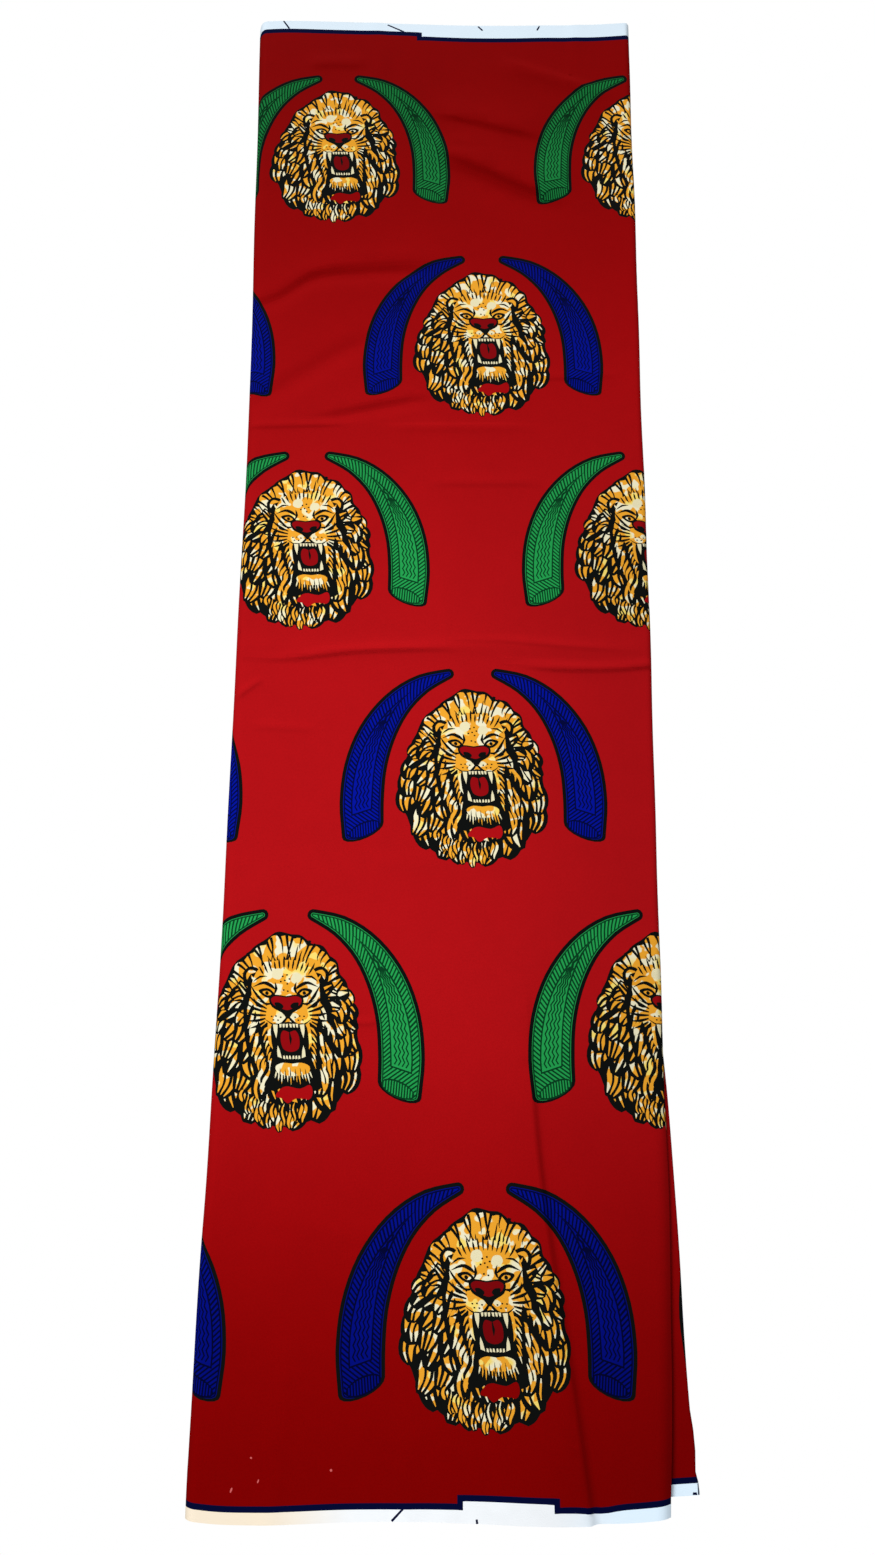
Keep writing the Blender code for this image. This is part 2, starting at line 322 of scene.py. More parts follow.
def tuft(chance, path, strands, width, gap, outline):
    # a few strands of hair side by side that draw together at the tip, on one dark shape
    def across(share):
        # how far apart the strands' middles are at a share of the way
        return (width + gap) * (0.5 + 0.6 * sin(pi * min(share * 0.86 + 0.1, 1.0)))

    def moved(offset, swell, first=0, last=7):
        found = []
        for i, (x, y, share) in enumerate(path[first:last]):
            stepX, stepY = wayAt(path, first + i)
            off = offset * across(share)
            found.append((x - stepY * off, y + stepX * off, swell(share)))
        return found

    total = strands * (width + gap)
    back = moved(0.0, lambda share: total * (0.55 + 0.5 * sin(pi * min(0.9 * share + 0.08, 1.0))))
    tipX, tipY, _ = path[-1]
    stepX, stepY = wayAt(path, len(path) - 1)
    back[-1] = (tipX - 0.6 * stepX, tipY - 0.6 * stepY, total * 0.5)
    back.append((tipX + 1.1 * outline * stepX, tipY + 1.1 * outline * stepY, total * 0.12))
    shapes = [("black", brush(back, grow=outline, steps=2))]
    for k in range(strands):
        offset = k - (strands - 1) / 2
        full = width * chance.uniform(0.5, 1.25)
        first, last = chance.choice((0, 0, 1, 2)), 7 if k == strands // 2 else chance.choice((6, 7))

        def swell(share):
            return full * (0.16 + 0.95 * sin(pi * min(max(share * 0.84 + 0.06, 0.0), 1.0)) ** 0.9)

        strand = moved(offset, swell, first, last)
        strand[-1] = (*strand[-1][:2], 0.5)
        strand[0] = (*strand[0][:2], 0.2)
        shapes.append(("lion", brush(strand, steps=2)))
    return shapes


def maneReach(angle):
    # from the head's centre to the mane's edge in a direction, in degrees from straight right
    size = lionSizes
    c, s = towards(angle)
    inside, outside = 0.0, 140.0
    for _ in range(20):
        reach = (inside + outside) / 2
        up = reach * s - size["centreDrop"] + size["widestDrop"]
        tall, power = ((size["above"] + size["widestDrop"], size["crownRound"]) if up > 0
                       else (size["below"] - size["widestDrop"], size["beardRound"]))
        if abs(reach * c / size["halfWide"]) ** power + abs(up / tall) ** power < 1:
            inside = reach
        else:
            outside = reach
    return inside


def manePlace(share, angle):
    # a place at a share of the way from the head's centre to the mane's edge
    reach = share * maneReach(angle)
    c, s = towards(angle)
    return reach * c, reach * s - lionSizes["centreDrop"]


def lumps(angle):
    # how unevenly the hair stands out at the crown
    crown = clear(0.3, 0.7, sin(radians(angle)))
    return crown * (0.022 * sin(radians(8 * angle + 40)) + 0.014 * sin(radians(19 * angle)))


def fromCrown(angle):
    # degrees between a direction and straight up
    return abs((angle - 90 + 180) % 360 - 180)


def lieOfHair(angle):
    # heading at the tip and bend of a lock whose tip lies in a direction from the head's centre
    down = fromCrown(angle) / 180
    above, below = next(pair for pair in zip(hairLies, hairLies[1:]) if down <= pair[1][0])
    t = (down - above[0]) / (below[0] - above[0])
    heading, curl = (a + (b - a) * t for a, b in zip(above[1:], below[1:]))
    right = cos(radians(angle)) >= 0
    return (heading, curl) if right else (180 - heading, -curl)


def lionMane(chance):
    def edgeShare(angle):
        notches = 0.02 * abs(sin(radians(angle * 10.5)))
        return 0.992 + notches + lumps(angle) - 0.05 * clear(0.55, 0.95, -sin(radians(angle)))

    shapes = [("black", [manePlace(edgeShare(angle), angle) for angle in range(0, 360, 3)])]
    for end, count, length, strands, width in maneRings:
        angles = [90 + 360 * (i + 0.5) / count for i in range(count)]
        # the lower locks are laid first and the ones at the crown last
        angles.sort(key=fromCrown, reverse=True)
        for angle in angles:
            angle += chance.uniform(-3.0, 3.0)
            low = max(-sin(radians(angle)), 0.0)
            if 42 < angle % 360 < 138:
                continue
            x, y = manePlace(end * chance.uniform(0.97, 1.0), angle)
            heading, curl = lieOfHair(angle)
            heading += chance.uniform(-12, 12)
            long = length * chance.uniform(0.85, 1.2) * (1 + 0.35 * low)
            path = lockTo(x, y, heading, long, curl, chance.uniform(10, 26) * chance.choice((1, -1)))
            wide = width * chance.uniform(0.85, 1.15) * (1 - 0.15 * low)
            gap, outline = lionSizes["strandGap"] * (1 + 0.8 * low), lionSizes["outline"] * (0.7 + 0.6 * low)
            shapes += tuft(chance, path, strands, wide, gap, outline)
    # the crown: pale hair swept back from the brow, with dark lines between its strands
    upper = [manePlace(0.94 + 0.035 * abs(sin(radians(a * 15))) + lumps(a), a) for a in range(34, 147, 2)]
    shapes.append(("lion", upper + [manePlace(0.5, a) for a in range(146, 33, -8)]))
    for k in range(37):
        angle = 36 + 108 * (k + 0.5) / 37 + chance.uniform(-1.2, 1.2)
        side = 1 if angle < 90 else -1
        heading, curl = lieOfHair(angle)
        length = chance.choice((9, 14, 20, 27))
        x, y = manePlace(chance.uniform(0.66, 0.88) if k % 2 else 0.99, angle)
        line = lockTo(x, y, heading + chance.uniform(-9, 9), length, curl, side * chance.uniform(-4, 14))
        widths = [0.2, 0.7, 1.2, 1.5, 1.2, 0.8, 0.3] if k % 2 else [0.2, 0.6, 0.9, 1.1, 1.4, 1.8, 2.2]
        shapes.append(("black", brush([(px, py, w) for (px, py, _), w in zip(line, widths)], steps=2)))
    return shapes


# The face's forms in painting order: where, ink, how many steps round each corner (0 keeps it), and the
# points: (across, up) round an outline, (across, up, width) along a stroke. "both" is drawn on both sides
# and "one" as it stands; "whole" is the right half of an outline that is mirrored.
lionFeatures = {
    "hollows": (
        ("both", "black", 3, (22, 10), (28, 4), (31, -14), (30, -36), (24, -54), (13, -62), (6, -50),
         (8, -20)),
    ),
    "ears and head": (
        ("both", "black", 3, (18, 14), (19, 20.5), (25, 22.5), (30, 18), (28.5, 10), (22, 8)),
        ("both", "lion", 3, (20.5, 18.6), (25, 20.2), (27.6, 17.4), (27.0, 13.4), (24.6, 17.2)),
        ("both", "lion", 2, (20.6, 12.6, 0.3), (23.0, 14.2, 1.4), (24.2, 16.4, 0.2)),
        ("whole", "lion", 3, (0, 27), (10, 26), (18.5, 21.5), (23.5, 11), (23.0, -4), (20.0, -16),
         (16.0, -28), (9, -38), (0, -41)),
    ),
    "pale places": (
        ("one", "tooth", 3, (-9.6, 15.2), (-8.8, 20.0), (-4.2, 21.0), (-2.0, 17.4), (-4.6, 13.4)),
        ("one", "tooth", 3, (3.6, 12.6), (5.0, 17.2), (9.6, 17.4), (11.2, 13.6), (7.4, 10.4)),
        ("both", "tooth", 3, (14.8, -2.2), (16.4, 0.2), (19.8, 0.0), (20.6, -2.6), (17.2, -3.8)),
        ("both", "tooth", 3, (2.0, -10.6), (5.2, -9.4), (7.6, -11.6), (4.6, -13.4)),
    ),
    "brow spots": ((-2.2, 15.6), (0.8, 16.6), (2.6, 13.8), (-0.6, 12.8), (-3.4, 12.0), (1.2, 10.4),
                   (-1.2, 6.2), (1.6, 5.4)),
    "brows and eyes": (
        ("both", "black", 2, (8.0, 3.4, 0.4), (6.4, 7.0, 2.0), (7.4, 11.6, 0.3)),
        ("both", "black", 3, (6.8, 6.4, 0.4), (10.4, 9.4, 2.4), (15.6, 11.2, 2.0), (22.5, 8.4, 0.3)),
        ("both", "black", 2, (13.0, 15.6, 0.2), (18.0, 15.4, 1.5), (22.6, 12.0, 0.2)),
        ("both", "black", 3, (7.2, 2.4), (10.2, 6.6), (14.4, 7.6), (18.8, 5.8), (15.6, 2.0), (11.2, 0.6)),
        ("both", "lion", 3, (9.8, 3.6), (11.6, 5.4), (14.0, 5.7), (16.0, 4.8), (14.0, 3.0), (11.8, 2.4)),
        ("both", "black", 0, *oval(13.0, 4.1, 1.3, 1.4, count=9)),
        ("both", "black", 3, (9.0, -2.4, 0.2), (14.0, -3.4, 1.6), (20.0, -0.6, 0.2)),
        ("both", "black", 2, (16.6, -6.0, 0.2), (20.4, -4.2, 1.8), (22.6, 1.4, 0.2)),
    ),
    "nose and lip": (
        ("whole", "black", 3, (0, 2.0), (7.4, 3.0), (12.0, 0.6), (10.4, -5.4), (4.0, -9.2), (0, -13.6)),
        ("whole", "red", 3, (0, 1.0), (7.0, 2.0), (10.6, 0.0), (9.2, -3.8), (4.4, -6.2), (0, -7.6)),
        ("both", "black", 3, (2.4, -4.6), (5.0, -2.4), (8.4, -2.6), (7.0, -5.8), (3.6, -6.6)),
        ("both", "black", 2, (0.4, -12.0, 1.2), (4.0, -16.4, 1.9), (9.4, -18.0, 1.4), (15.6, -14.0, 0.3)),
    ),
    "whisker spots": ((5.0, -12.4), (8.2, -11.6), (11.2, -11.8), (7.0, -14.4), (10.2, -14.2)),
    "open mouth": (
        ("whole", "black", 3, (0, -15.4), (6.0, -16.8), (11.6, -17.2), (13.0, -26.0), (11.6, -37.0),
         (6.0, -42.6), (0, -43.4)),
        ("whole", "red", 3, (0, -22.6), (4.2, -21.4), (6.4, -26.0), (5.4, -33.4), (0, -35.8)),
        ("one", "black", 2, (0, -22, 0.4), (0.4, -27, 1.8), (0, -31, 0.2)),
        ("both", "tooth", 0, (7.6, -17.4), (10.8, -17.2), (10.6, -21.6), (9.4, -26.6), (8.2, -22.0)),
        ("both", "tooth", 0, (6.8, -40.0), (9.6, -38.8), (9.6, -35.0), (8.8, -31.4), (7.6, -35.0)),
    ),
    "cheeks": (
        ("both", "black", 3, (14.6, -16.0, 0.8), (17.4, -22, 5.0), (17.6, -32, 5.6), (15.4, -42, 3.8),
         (12.0, -50, 0.6)),
    ),
    "chin": (
        ("whole", "black", 3, (0, -41.5), (8.0, -42.0), (13.5, -45.0), (14.0, -54.0), (9.0, -59.5),
         (0, -61.0)),
        ("whole", "lion", 3, (0, -43.6), (6.4, -43.0), (11.6, -45.4), (10.4, -50.0), (5.0, -51.4),
         (0, -51.8)),
    ),
    "below the chin": (
        ("one", "ground", 3, (-9.0, -60.0), (-4.0, -58.6), (4.0, -60.2), (10.6, -57.6), (12.6, -63.0),
         (10.0, -67.4), (2.0, -66.4), (-4.0, -69.8), (-8.0, -66.6), (-12.6, -65.0)),
    ),
}


def lionFace(chance):
    shapes = []

    def add(ink, outline):
        # the head is turned a little: the lower a feature, the further it stands to the right
        turned = lionSizes["turned"]
        shapes.append((ink, [(x + turned * max(min(6.0 - y, 64.0), 0.0), y) for x, y in outline]))

    def both(ink, outline):
        for side in (1, -1):
            add(ink, [(x * side, y) for x, y in outline])

    def draw(feature):
        for where, ink, steps, *points in lionFeatures[feature]:
            if where == "whole":
                points += [(-x, y) for x, y in points[::-1] if x > 0]
            if steps:
                points = (closedCurve if len(points[0]) == 2 else brush)(points, steps=steps)
            (both if where == "both" else add)(ink, points)

    def hair(ink, path, swell, power, steps):
        # a single hair, thin at both ends
        add(ink, brush([(x, y, 0.2 + swell * sin(pi * share) ** power) for x, y, share in path], steps=steps))

    draw("hollows")
    # thin pale hairs in the dark hollows behind the cheeks
    for k in range(26):
        side = 1 if k % 2 else -1
        u = (k // 2) / 12
        x = side * (27.5 - 9 * abs(u - 0.35)) + chance.uniform(-3.5, 3.5)
        heading = -92 + side * 14 * (1 - u) - 4
        path = lockTo(x, -6 - 56 * u, heading, chance.uniform(13, 20), side * -20, chance.uniform(-22, 22))
        hair("lion", [(px, py, min(s * 0.9 + 0.05, 1)) for px, py, s in path], 2.0, 1.2, 2)
    draw("ears and head")
    # roots of the hair over the brow
    for k in range(12):
        x = -15.4 + 2.8 * k
        lean = 90 - 2.6 * x
        path = hairPath(x, 20.5 - 0.016 * x * x, lean, 6.5 + (k % 3) * 1.5, -0.5 * (lean - 90), 0.0)
        hair("black", path, 1.25, 0.8, 1)
    draw("pale places")
    for x, y in lionFeatures["brow spots"]:
        add("black", oval(x, y, 0.75, 0.65, count=6))
    draw("brows and eyes")
    draw("nose and lip")
    for x, y in lionFeatures["whisker spots"]:
        both("black", oval(x, y, 0.75, 0.6, count=5))
    # the fan of whiskers
    for k in range(7):
        turn = radians(46 - 15 * k)
        x, y = 13.6 + 0.5 * k, -4.4 - 2.2 * k
        reach = 17.5 - 1.1 * k
        middle = (x + 0.5 * reach * cos(turn), y + 0.5 * reach * sin(turn), 2.0)
        tip = (x + reach * cos(turn + 0.12), y + reach * sin(turn + 0.12), 0.2)
        both("black", brush([(x, y, 0.9), middle, tip], steps=2))
    draw("open mouth")
    # front teeth, three to a side above and below
    for k in range(3):
        for pitch, tooth in ((2.2, ((0.4, -16.8), (2.1, -17.0), (1.9, -19.4), (0.8, -19.2))),
                             (2.0, ((0.4, -40.6), (1.9, -40.2), (1.7, -38.2), (0.7, -38.4)))):
            both("tooth", [(x + pitch * k, y) for x, y in tooth])
    draw("cheeks")
    for k in range(6):
        both("lion", brush([(14.2 - 0.1 * k, -19.0 - 4.2 * k, 0.2), (16.4 - 0.3 * k, -20.6 - 4.3 * k, 1.5),
                            (18.8 - 0.6 * k, -25.0 - 4.4 * k, 0.2)], steps=2))
    draw("chin")
    # the chin's fringe, and dark lines in it
    for k in range(13):
        x = -11.4 + 1.9 * k
        long = 5.0 + 1.6 * (k % 3) - 0.12 * abs(x)
        fringe = [(x, -49.0, 0.9), (x * 1.06, -49.5 - long / 2, 1.0), (x * 1.12, -49.5 - long, 0.2)]
        add("lion" if k % 3 else "tooth", brush(fringe, steps=2))
    for k in range(6):
        x = -8.6 + 3.4 * k
        top = -46.4 - 0.6 * (k % 2)
        add("black", brush([(x, top, 0.2), (x * 1.05, -50.5, 0.8), (x * 1.1, -53.5, 0.3)], steps=2))
    draw("below the chin")
    # the beard
    for k in range(12):
        x = -28 + 3.9 * k
        long = 15 - 0.2 * abs(x) + 3 * (k % 2)
        path = hairPath(x * 0.9, -70.5 + 0.012 * x * x, -90 + 0.9 * x, long, -1.4 * x, 20 if k % 2 else -20)
        shapes += tuft(chance, path, 2, 1.7, 1.0, 0.8)
    return shapes


def tusk(side, bright, dark):
    size = tuskSizes
    shapes = []
    line = smoothLine(tuskLine, 8)
    travelled = distances(line)
    length = travelled[-1]
    edge = tuskRims[-1][0]

    def section(distance):
        # middle point, unit normal and half width at a distance from the cut end
        past, distance = min(distance, 0.0), min(max(distance, 0.0), length - 1e-6)
        i = next(k for k in range(len(line) - 1) if distance < travelled[k + 1])
        t = (distance - travelled[i]) / (travelled[i + 1] - travelled[i])
        x, y, width = (p + (q - p) * t for p, q in zip(line[i], line[i + 1]))
        stepX, stepY = wayAt(line, i, 2)
        return x + stepX * past, y + stepY * past, -stepY, stepX, width / 2

    def at(distance, across):
        x, y, nx, ny, _ = section(distance)
        return x + nx * across, y + ny * across

    def half(distance):
        return section(distance)[4]

    def add(ink, points):
        shapes.append(({"bright": bright, "dark": dark}.get(ink, ink), [(-side * x, y) for x, y in points]))

    # the rims, each round the tip and round the slanting cut end
    skew = tan(radians(size["ovalTilt"]))
    tipX, tipY, nx, ny, tipHalf = section(length)
    for inset, ink in tuskRims:
        kept = [d for d in (length * k / 22 for k in range(1, 23)) if half(d) > inset]
        rounded = [(tipX + (tipHalf - inset) * (nx * cos(a) + ny * sin(a)),
                    tipY + (tipHalf - inset) * (ny * cos(a) - nx * sin(a)))
                   for a in (pi * k / 6 for k in range(1, 6))]
        reach, tall = half(0) - inset, size["lowTall"] - 0.6 * inset
        cutRim = [at(-tall * sin(a) - reach * cos(a) * skew, reach * cos(a))
                  for a in (pi * (1 - k / 9) for k in range(10))]
        add(ink, [at(d, half(d) - inset) for d in kept] + (rounded if tipHalf > inset else [])
            + [at(d, inset - half(d)) for d in kept[::-1]] + cutRim)
    # slanting hatch from side to side
    for k in range(-6, int(length / size["hatchStep"])):
        d, lean = size["hatchStep"] * k, size["hatchLean"]
        outer = inner = half(d)
        for _ in range(2):
            outer, inner = half(d + lean * outer) - edge, half(d - lean * inner) - edge
        first = max(-inner, -(d + 3.0) / (lean + skew))
        last = min(outer, (length - 1.0 - size["hatchWide"] - d) / lean)
        if last - first > 1.0:
            bar = [(d + lean * a, a) for a in (first, (first + last) / 2, last)]
            back = [at(along + size["hatchWide"], a) for along, a in bar[::-1]]
            add("dark", [at(along, a) for along, a in bar] + back)
    # long inner panel with zigzag grain
    low, high = size["panelLow"], length * size["panelShare"]

    def panelReach(t):
        return (half(low + (high - low) * t) - edge - size["band"]) * (1 - t ** 3)

    def panelPlace(start, long, t, across):
        # its cross lines lean like the cut end, and less and less towards the tip
        return at(start + long * t - across * skew * (1 - t), across)

    for ink, inset in (("dark", 0.0), ("bright", size["line"])):
        reaches = [(t, max(panelReach(t) - inset, 0.05)) for t in (0.97 * k / 14 for k in range(15))]
        long = high - low - 4 * inset
        right, left = ([panelPlace(low + inset, long, t, way * reach) for t, reach in reaches]
                       for way in (1, -1))
        add(ink, right + left[::-1])
    for lane in (-0.6, -0.2, 0.2, 0.6):
        count = int((high - low) * (0.86 - 0.25 * abs(lane)) / size["grainStep"])
        wave = []
        for k in range(count):
            t = (2.5 + size["grainStep"] * k) / (high - low)
            zigzag = size["grainReach"] * (1 if k % 2 else -1) * (1 - 0.6 * t)
            across = (panelReach(t) - size["line"]) * lane + zigzag
            wave.append((*panelPlace(low, high - low, t, across), size["grainWide"]))
        add("dark", brush(wave, steps=1))
    # cut end
    ring = oval(0.0, 0.0, size["ovalLong"] + 0.9, size["ovalTall"] + 0.9)
    add("dark", [at(0.4 + y - x * skew, x - 1.2) for x, y in ring])
    for k in range(11):
        u = (k - 5) * 1.9
        tall = (size["ovalTall"] - 0.4) * sqrt(1 - (u / size["ovalLong"]) ** 2)
        add("bright", [at(0.4 + way * tall - u * skew, u - 1.2 + wide)
                       for way, wide in ((-1, -0.45), (-1, 0.45), (1, 0.45), (1, -0.45))])
    return shapes


def lionHead(seed=3):
    chance = random.Random(seed)
    return lionMane(chance) + lionFace(chance)


# Towards the near end the upper fold is softer: how far in it begins to fall, by how much, and where along
softFold = {"reach": 9.5, "drop": 3.6, "starts": -270.0, "full": -400.0}
# by how much the round of each fold waves out and in along the cloth
uneven = {"upper": 0.35, "spine": 0.3, "lower": 0.12}


def softened(across, along, height):
    # the height of a place of the upper half, lowered where its fold is soft
    middle = stack["upperLow"] + upperRadius
    fromEdge = upperEdge(along) - across
    if height <= middle or fromEdge > softFold["reach"] or along > softFold["starts"]:
        return height
    share = 1 - max(fromEdge, 0.0) / softFold["reach"]
    drop = softFold["drop"] * share * share * clear(softFold["starts"], softFold["full"], along)
    return height - drop * (height - middle) / upperRadius


def wrapOuter(along, across, depth=0.0):
    # a place on the outermost ply, from how far it lies along the cloth and how far across when unrolled.
    # Across is the real X on the top; depth is how far it lies inside the outer face.
    def bulge(size, turn, wave):
        lifted = relief(across, along) * clear(1.2, 0.0, turn) if turn < 1.2 else 0.0
        return size * sin(turn) * wave - depth + lifted

    spineX, foldX = leftEdge(along) + spineRadius, upperEdge(along) - upperRadius
    if across > foldX:
        turn = (across - foldX) / upperRadius
        if turn > pi:
            return foldX - (turn - pi) * upperRadius, along, stack["upperLow"] + depth
        wave = sin(along / 47.0) + 0.7 * sin(along / 21.0 + 1.3)
        radius = upperRadius + bulge(uneven["upper"], turn, wave)
        x, height = foldX + radius * sin(turn), stack["upperLow"] + upperRadius + radius * cos(turn)
        return x, along, softened(x, along, height)
    if across >= spineX:
        return across, along, softened(across, along, stack["top"] + relief(across, along) - depth)
    turn = (spineX - across) / spineRadius
    if turn > pi:
        return spineX + (turn - pi) * spineRadius, along, depth
    wave = sin(along / 61.0 + 2.0) + 0.6 * sin(along / 27.0)
    radius = spineRadius + bulge(uneven["spine"], turn, wave)
    return spineX - radius * sin(turn), along, spineRadius + radius * cos(turn)


def wrapLower(along, across, depth=0.0):
    # a place on the lower panel, whose unrolled across is the real X on its top
    foldX = lowerEdge(along) - stack["lowerRadius"]
    radius = stack["lowerRadius"]
    middle = stack["lowerTop"] - radius
    if across <= foldX:
        return across, along, stack["lowerTop"] - depth
    turn = (across - foldX) / radius
    if turn > pi:
        return foldX - (turn - pi) * radius, along, middle - radius + depth
    radius += uneven["lower"] * sin(turn) * sin(along / 33.0) - depth
    return foldX + radius * sin(turn), along, middle + radius * cos(turn)


def upperEnd(near):
    # the selvedge line of the outermost ply: along, from the unrolled across
    upper, lower = (nearUpper, nearLower) if near else (farUpper, farLower)

    def value(across):
        along = -halfLength if near else halfLength
        for _ in range(3):
            x, _, z = wrapOuter(along, across)
            along = upper(x) if z > stack["upperLow"] - 0.5 else lower(x)
        return along

    return value


def lowerEnd(near):
    curve = nearLower if near else farLower

    def value(across):
        along = curve(across)
        for _ in range(2):
            along = curve(wrapLower(along, across)[0])
        return along

    return value


def outerStarts(along):
    # where the outermost ply's lower cut lies, in the unrolled across
    return leftEdge(along) + spineRadius - pi * spineRadius


def outerStops(along):
    # and the end that is tucked in below the upper fold
    return upperEdge(along) - upperRadius + pi * upperRadius + stack["upperTuck"] - upperRadius


def underStarts(along):
    # the underside runs to its free end at the right, which is the lowest value of the unrolled across
    left, stop = leftEdge(along) + spineRadius, lowerEdge(along) - stack["freeEndIn"]
    return left - pi * spineRadius - (stop - left)


def lowerStarts(along):
    return lowerEdge(along) - stack["lowerReach"]


def lowerStops(along):
    radius = stack["lowerRadius"]
    return lowerEdge(along) - radius + pi * radius + stack["lowerTuck"] - radius


def triangulate(outlines, points=(), segments=()):
    # splits the plane along closed outlines and loose segments: its points, its triangles, and the numbers
    # of the outlines that cover each triangle
    spots, faces = [Vector(p) for p in points], []
    for outline in outlines:
        area = sum(a[0] * b[1] - b[0] * a[1] for a, b in zip(outline, outline[1:] + outline[:1]))
        faces.append(list(range(len(spots), len(spots) + len(outline))))
        spots += [Vector(p) for p in (outline if area > 0 else outline[::-1])]
    found = delaunay_2d_cdt(spots, list(segments), faces, 0, 1e-5, True)
    return [(p.x, p.y) for p in found[0]], found[2], found[5]


class Motif:
    # a drawing of inked shapes laid over each other, kept as the lines between its inks
    def __init__(self, shapes, coarse):
        self.points, triangles, owners = triangulate([outline for _, outline in shapes])
        numbers = [inkNames.index(ink) for ink, _ in shapes]
        self.inks = [numbers[max(owner)] if owner else 0 for owner in owners]
        self.tree = BVHTree.FromPolygons([(x, y, 0.0) for x, y in self.points], triangles)
        sides = {}
        for triangle, ink in zip(triangles, self.inks):
            for a, b in zip(triangle, triangle[1:] + triangle[:1]):
                sides.setdefault((min(a, b), max(a, b)), []).append(ink)
        links = {}
        for (a, b), found in sides.items():
            if len(set(found)) > 1 or (len(found) == 1 and found[0]):
                links.setdefault(a, set()).add(b)
                links.setdefault(b, set()).add(a)
        for limit in (0.4 * coarse, 0.75 * coarse, coarse):
            self.straighten(links, limit)
        order = {point: i for i, point in enumerate(links)}
        self.points = [self.points[point] for point in links]
        self.segments = [(order[a], order[b]) for a in links for b in links[a] if a < b]
        self.box = [f(p[axis] for p in self.points) for axis in (0, 1) for f in (min, max)]

    def straighten(self, links, limit):
        # drops points that lie almost on the line between their two neighbours
        for point in list(links):
            if len(links[point]) != 2:
                continue
            a, b = links[point]
            if b in links[a]:
                continue
            (px, py), (ax, ay), (bx, by) = (self.points[i] for i in (point, a, b))
            length = hypot(bx - ax, by - ay)
            if 0 < length < 9.0 and abs((px - ax) * (by - ay) - (py - ay) * (bx - ax)) / length < limit:
                links[a] ^= {point, b}
                links[b] ^= {point, a}
                del links[point]

    def inkAt(self, x, y):
        hit = self.tree.ray_cast((x, y, 1.0), (0.0, 0.0, -1.0))
        return self.inks[hit[2]] if hit[2] is not None else 0


def inkOf(units, x, y):
    for motif, unitX, unitY in units:
        if motif.box[0] <= x - unitX <= motif.box[1] and motif.box[2] <= y - unitY <= motif.box[3]:
            ink = motif.inkAt(x - unitX, y - unitY)
            if ink:
                return ink
    return 0


def flatMesh(outlines, points, segments):
    # the part of the plane inside the first outline, as a flat mesh whose material numbers are outlines
    spots, triangles, owners = triangulate(outlines, points, segments)
    builder = bmesh.new()
    verts = {}
    for triangle, owner in zip(triangles, owners):
        if 0 not in owner:
            continue
        for i in triangle:
            if i not in verts:
                verts[i] = builder.verts.new((*spots[i], 0.0))
        builder.faces.new([verts[i] for i in triangle]).material_index = max(owner)
    bmesh.ops.remove_doubles(builder, verts=builder.verts, dist=0.03)
    bmesh.ops.dissolve_degenerate(builder, dist=0.01, edges=builder.edges)
    return builder


def borderLoop(builder):
    # the points round a flat mesh, with its faces on the left
    following = {}
    for face in builder.faces:
        for corner in face.loops:
            if corner.edge.is_boundary:
                following[corner.vert] = corner.link_loop_next.vert
    loop = [next(iter(following))]
    while following[loop[-1]] is not loop[0]:
        loop.append(following[loop[-1]])
    return loop


# How far apart the cloth's points lie where nothing is printed, the room round its face in the map, and how
# far in from a selvedge the inner face is white
meshing = {"gridAcross": 9.0, "gridAlong": 10.0, "sidePitch": 11.0, "bendPitch": 12.0, "mapMargin": 2.5,
           "whiteInside": 7.0}


def clothOutline(sheet):
    # round the unrolled stretch: near end, right side, far end, left side
    def corner(side, end):
        along = end(side(0.0))
        for _ in range(4):
            along = end(side(along))
        return side(along), along

    starts, stops, near, far = (sheet[part] for part in ("starts", "stops", "near", "far"))
    (nearLeft, lowLeft), (nearRight, lowRight) = corner(starts, near), corner(stops, near)
    (farLeft, highLeft), (farRight, highRight) = corner(starts, far), corner(stops, far)
    outline = [(across, near(across)) for across in evenly(nearLeft, nearRight, sheet["endPitch"])[:-1]]
    outline += [(stops(along), along) for along in cutsBetween(lowRight, highRight, sheet["cuts"])[:-1]]
    outline += [(across, far(across)) for across in evenly(farRight, farLeft, sheet["endPitch"])[:-1]]
    outline += [(starts(along), along) for along in cutsBetween(highLeft, lowLeft, sheet["cuts"])[:-1]]
    return outline


def cutsBetween(first, last, cuts):
    # stations along a side, with one exactly at each cut of the map
    marks = [first] + sorted(cuts, reverse=first > last) + [last]
    found = [first]
    for a, b in zip(marks, marks[1:]):
        found += evenly(a, b, meshing["sidePitch"])[1:]
    return found


def bendLines(sheet):
    # lines along the folds, close enough for their round, and along and beside the creases
    lines = []
    for place in sheet["bends"]:
        run = evenly(sheet["near"](place(0.0)) + 1.5, sheet["far"](place(0.0)) - 1.5, meshing["bendPitch"])
        lines.append([(place(along), along) for along in run])
    if not sheet["creased"]:
        return lines
    for line, _, _, _, sides, _ in creaseLines:
        for share in (-2.0, -1.3, -0.7, 0.0, 0.7, 1.3, 2.0):
            moved = []
            for before, point, after in zip(line[:1] + line[:-1], line, line[1:] + line[-1:]):
                way = (after - before).normalized()
                off = share * (sides[1] if share > 0 else sides[0])
                spot = (point.x - way.y * off, point.y + way.x * off)
                if insideBy(sheet, spot, 1.5):
                    moved.append(spot)
            if len(moved) > 1:
                lines.append(moved)
    return lines


def insideBy(sheet, point, margin):
    x, y = point
    return (sheet["starts"](y) + margin < x < sheet["stops"](y) - margin
            and sheet["near"](x) + margin < y < sheet["far"](x) - margin)


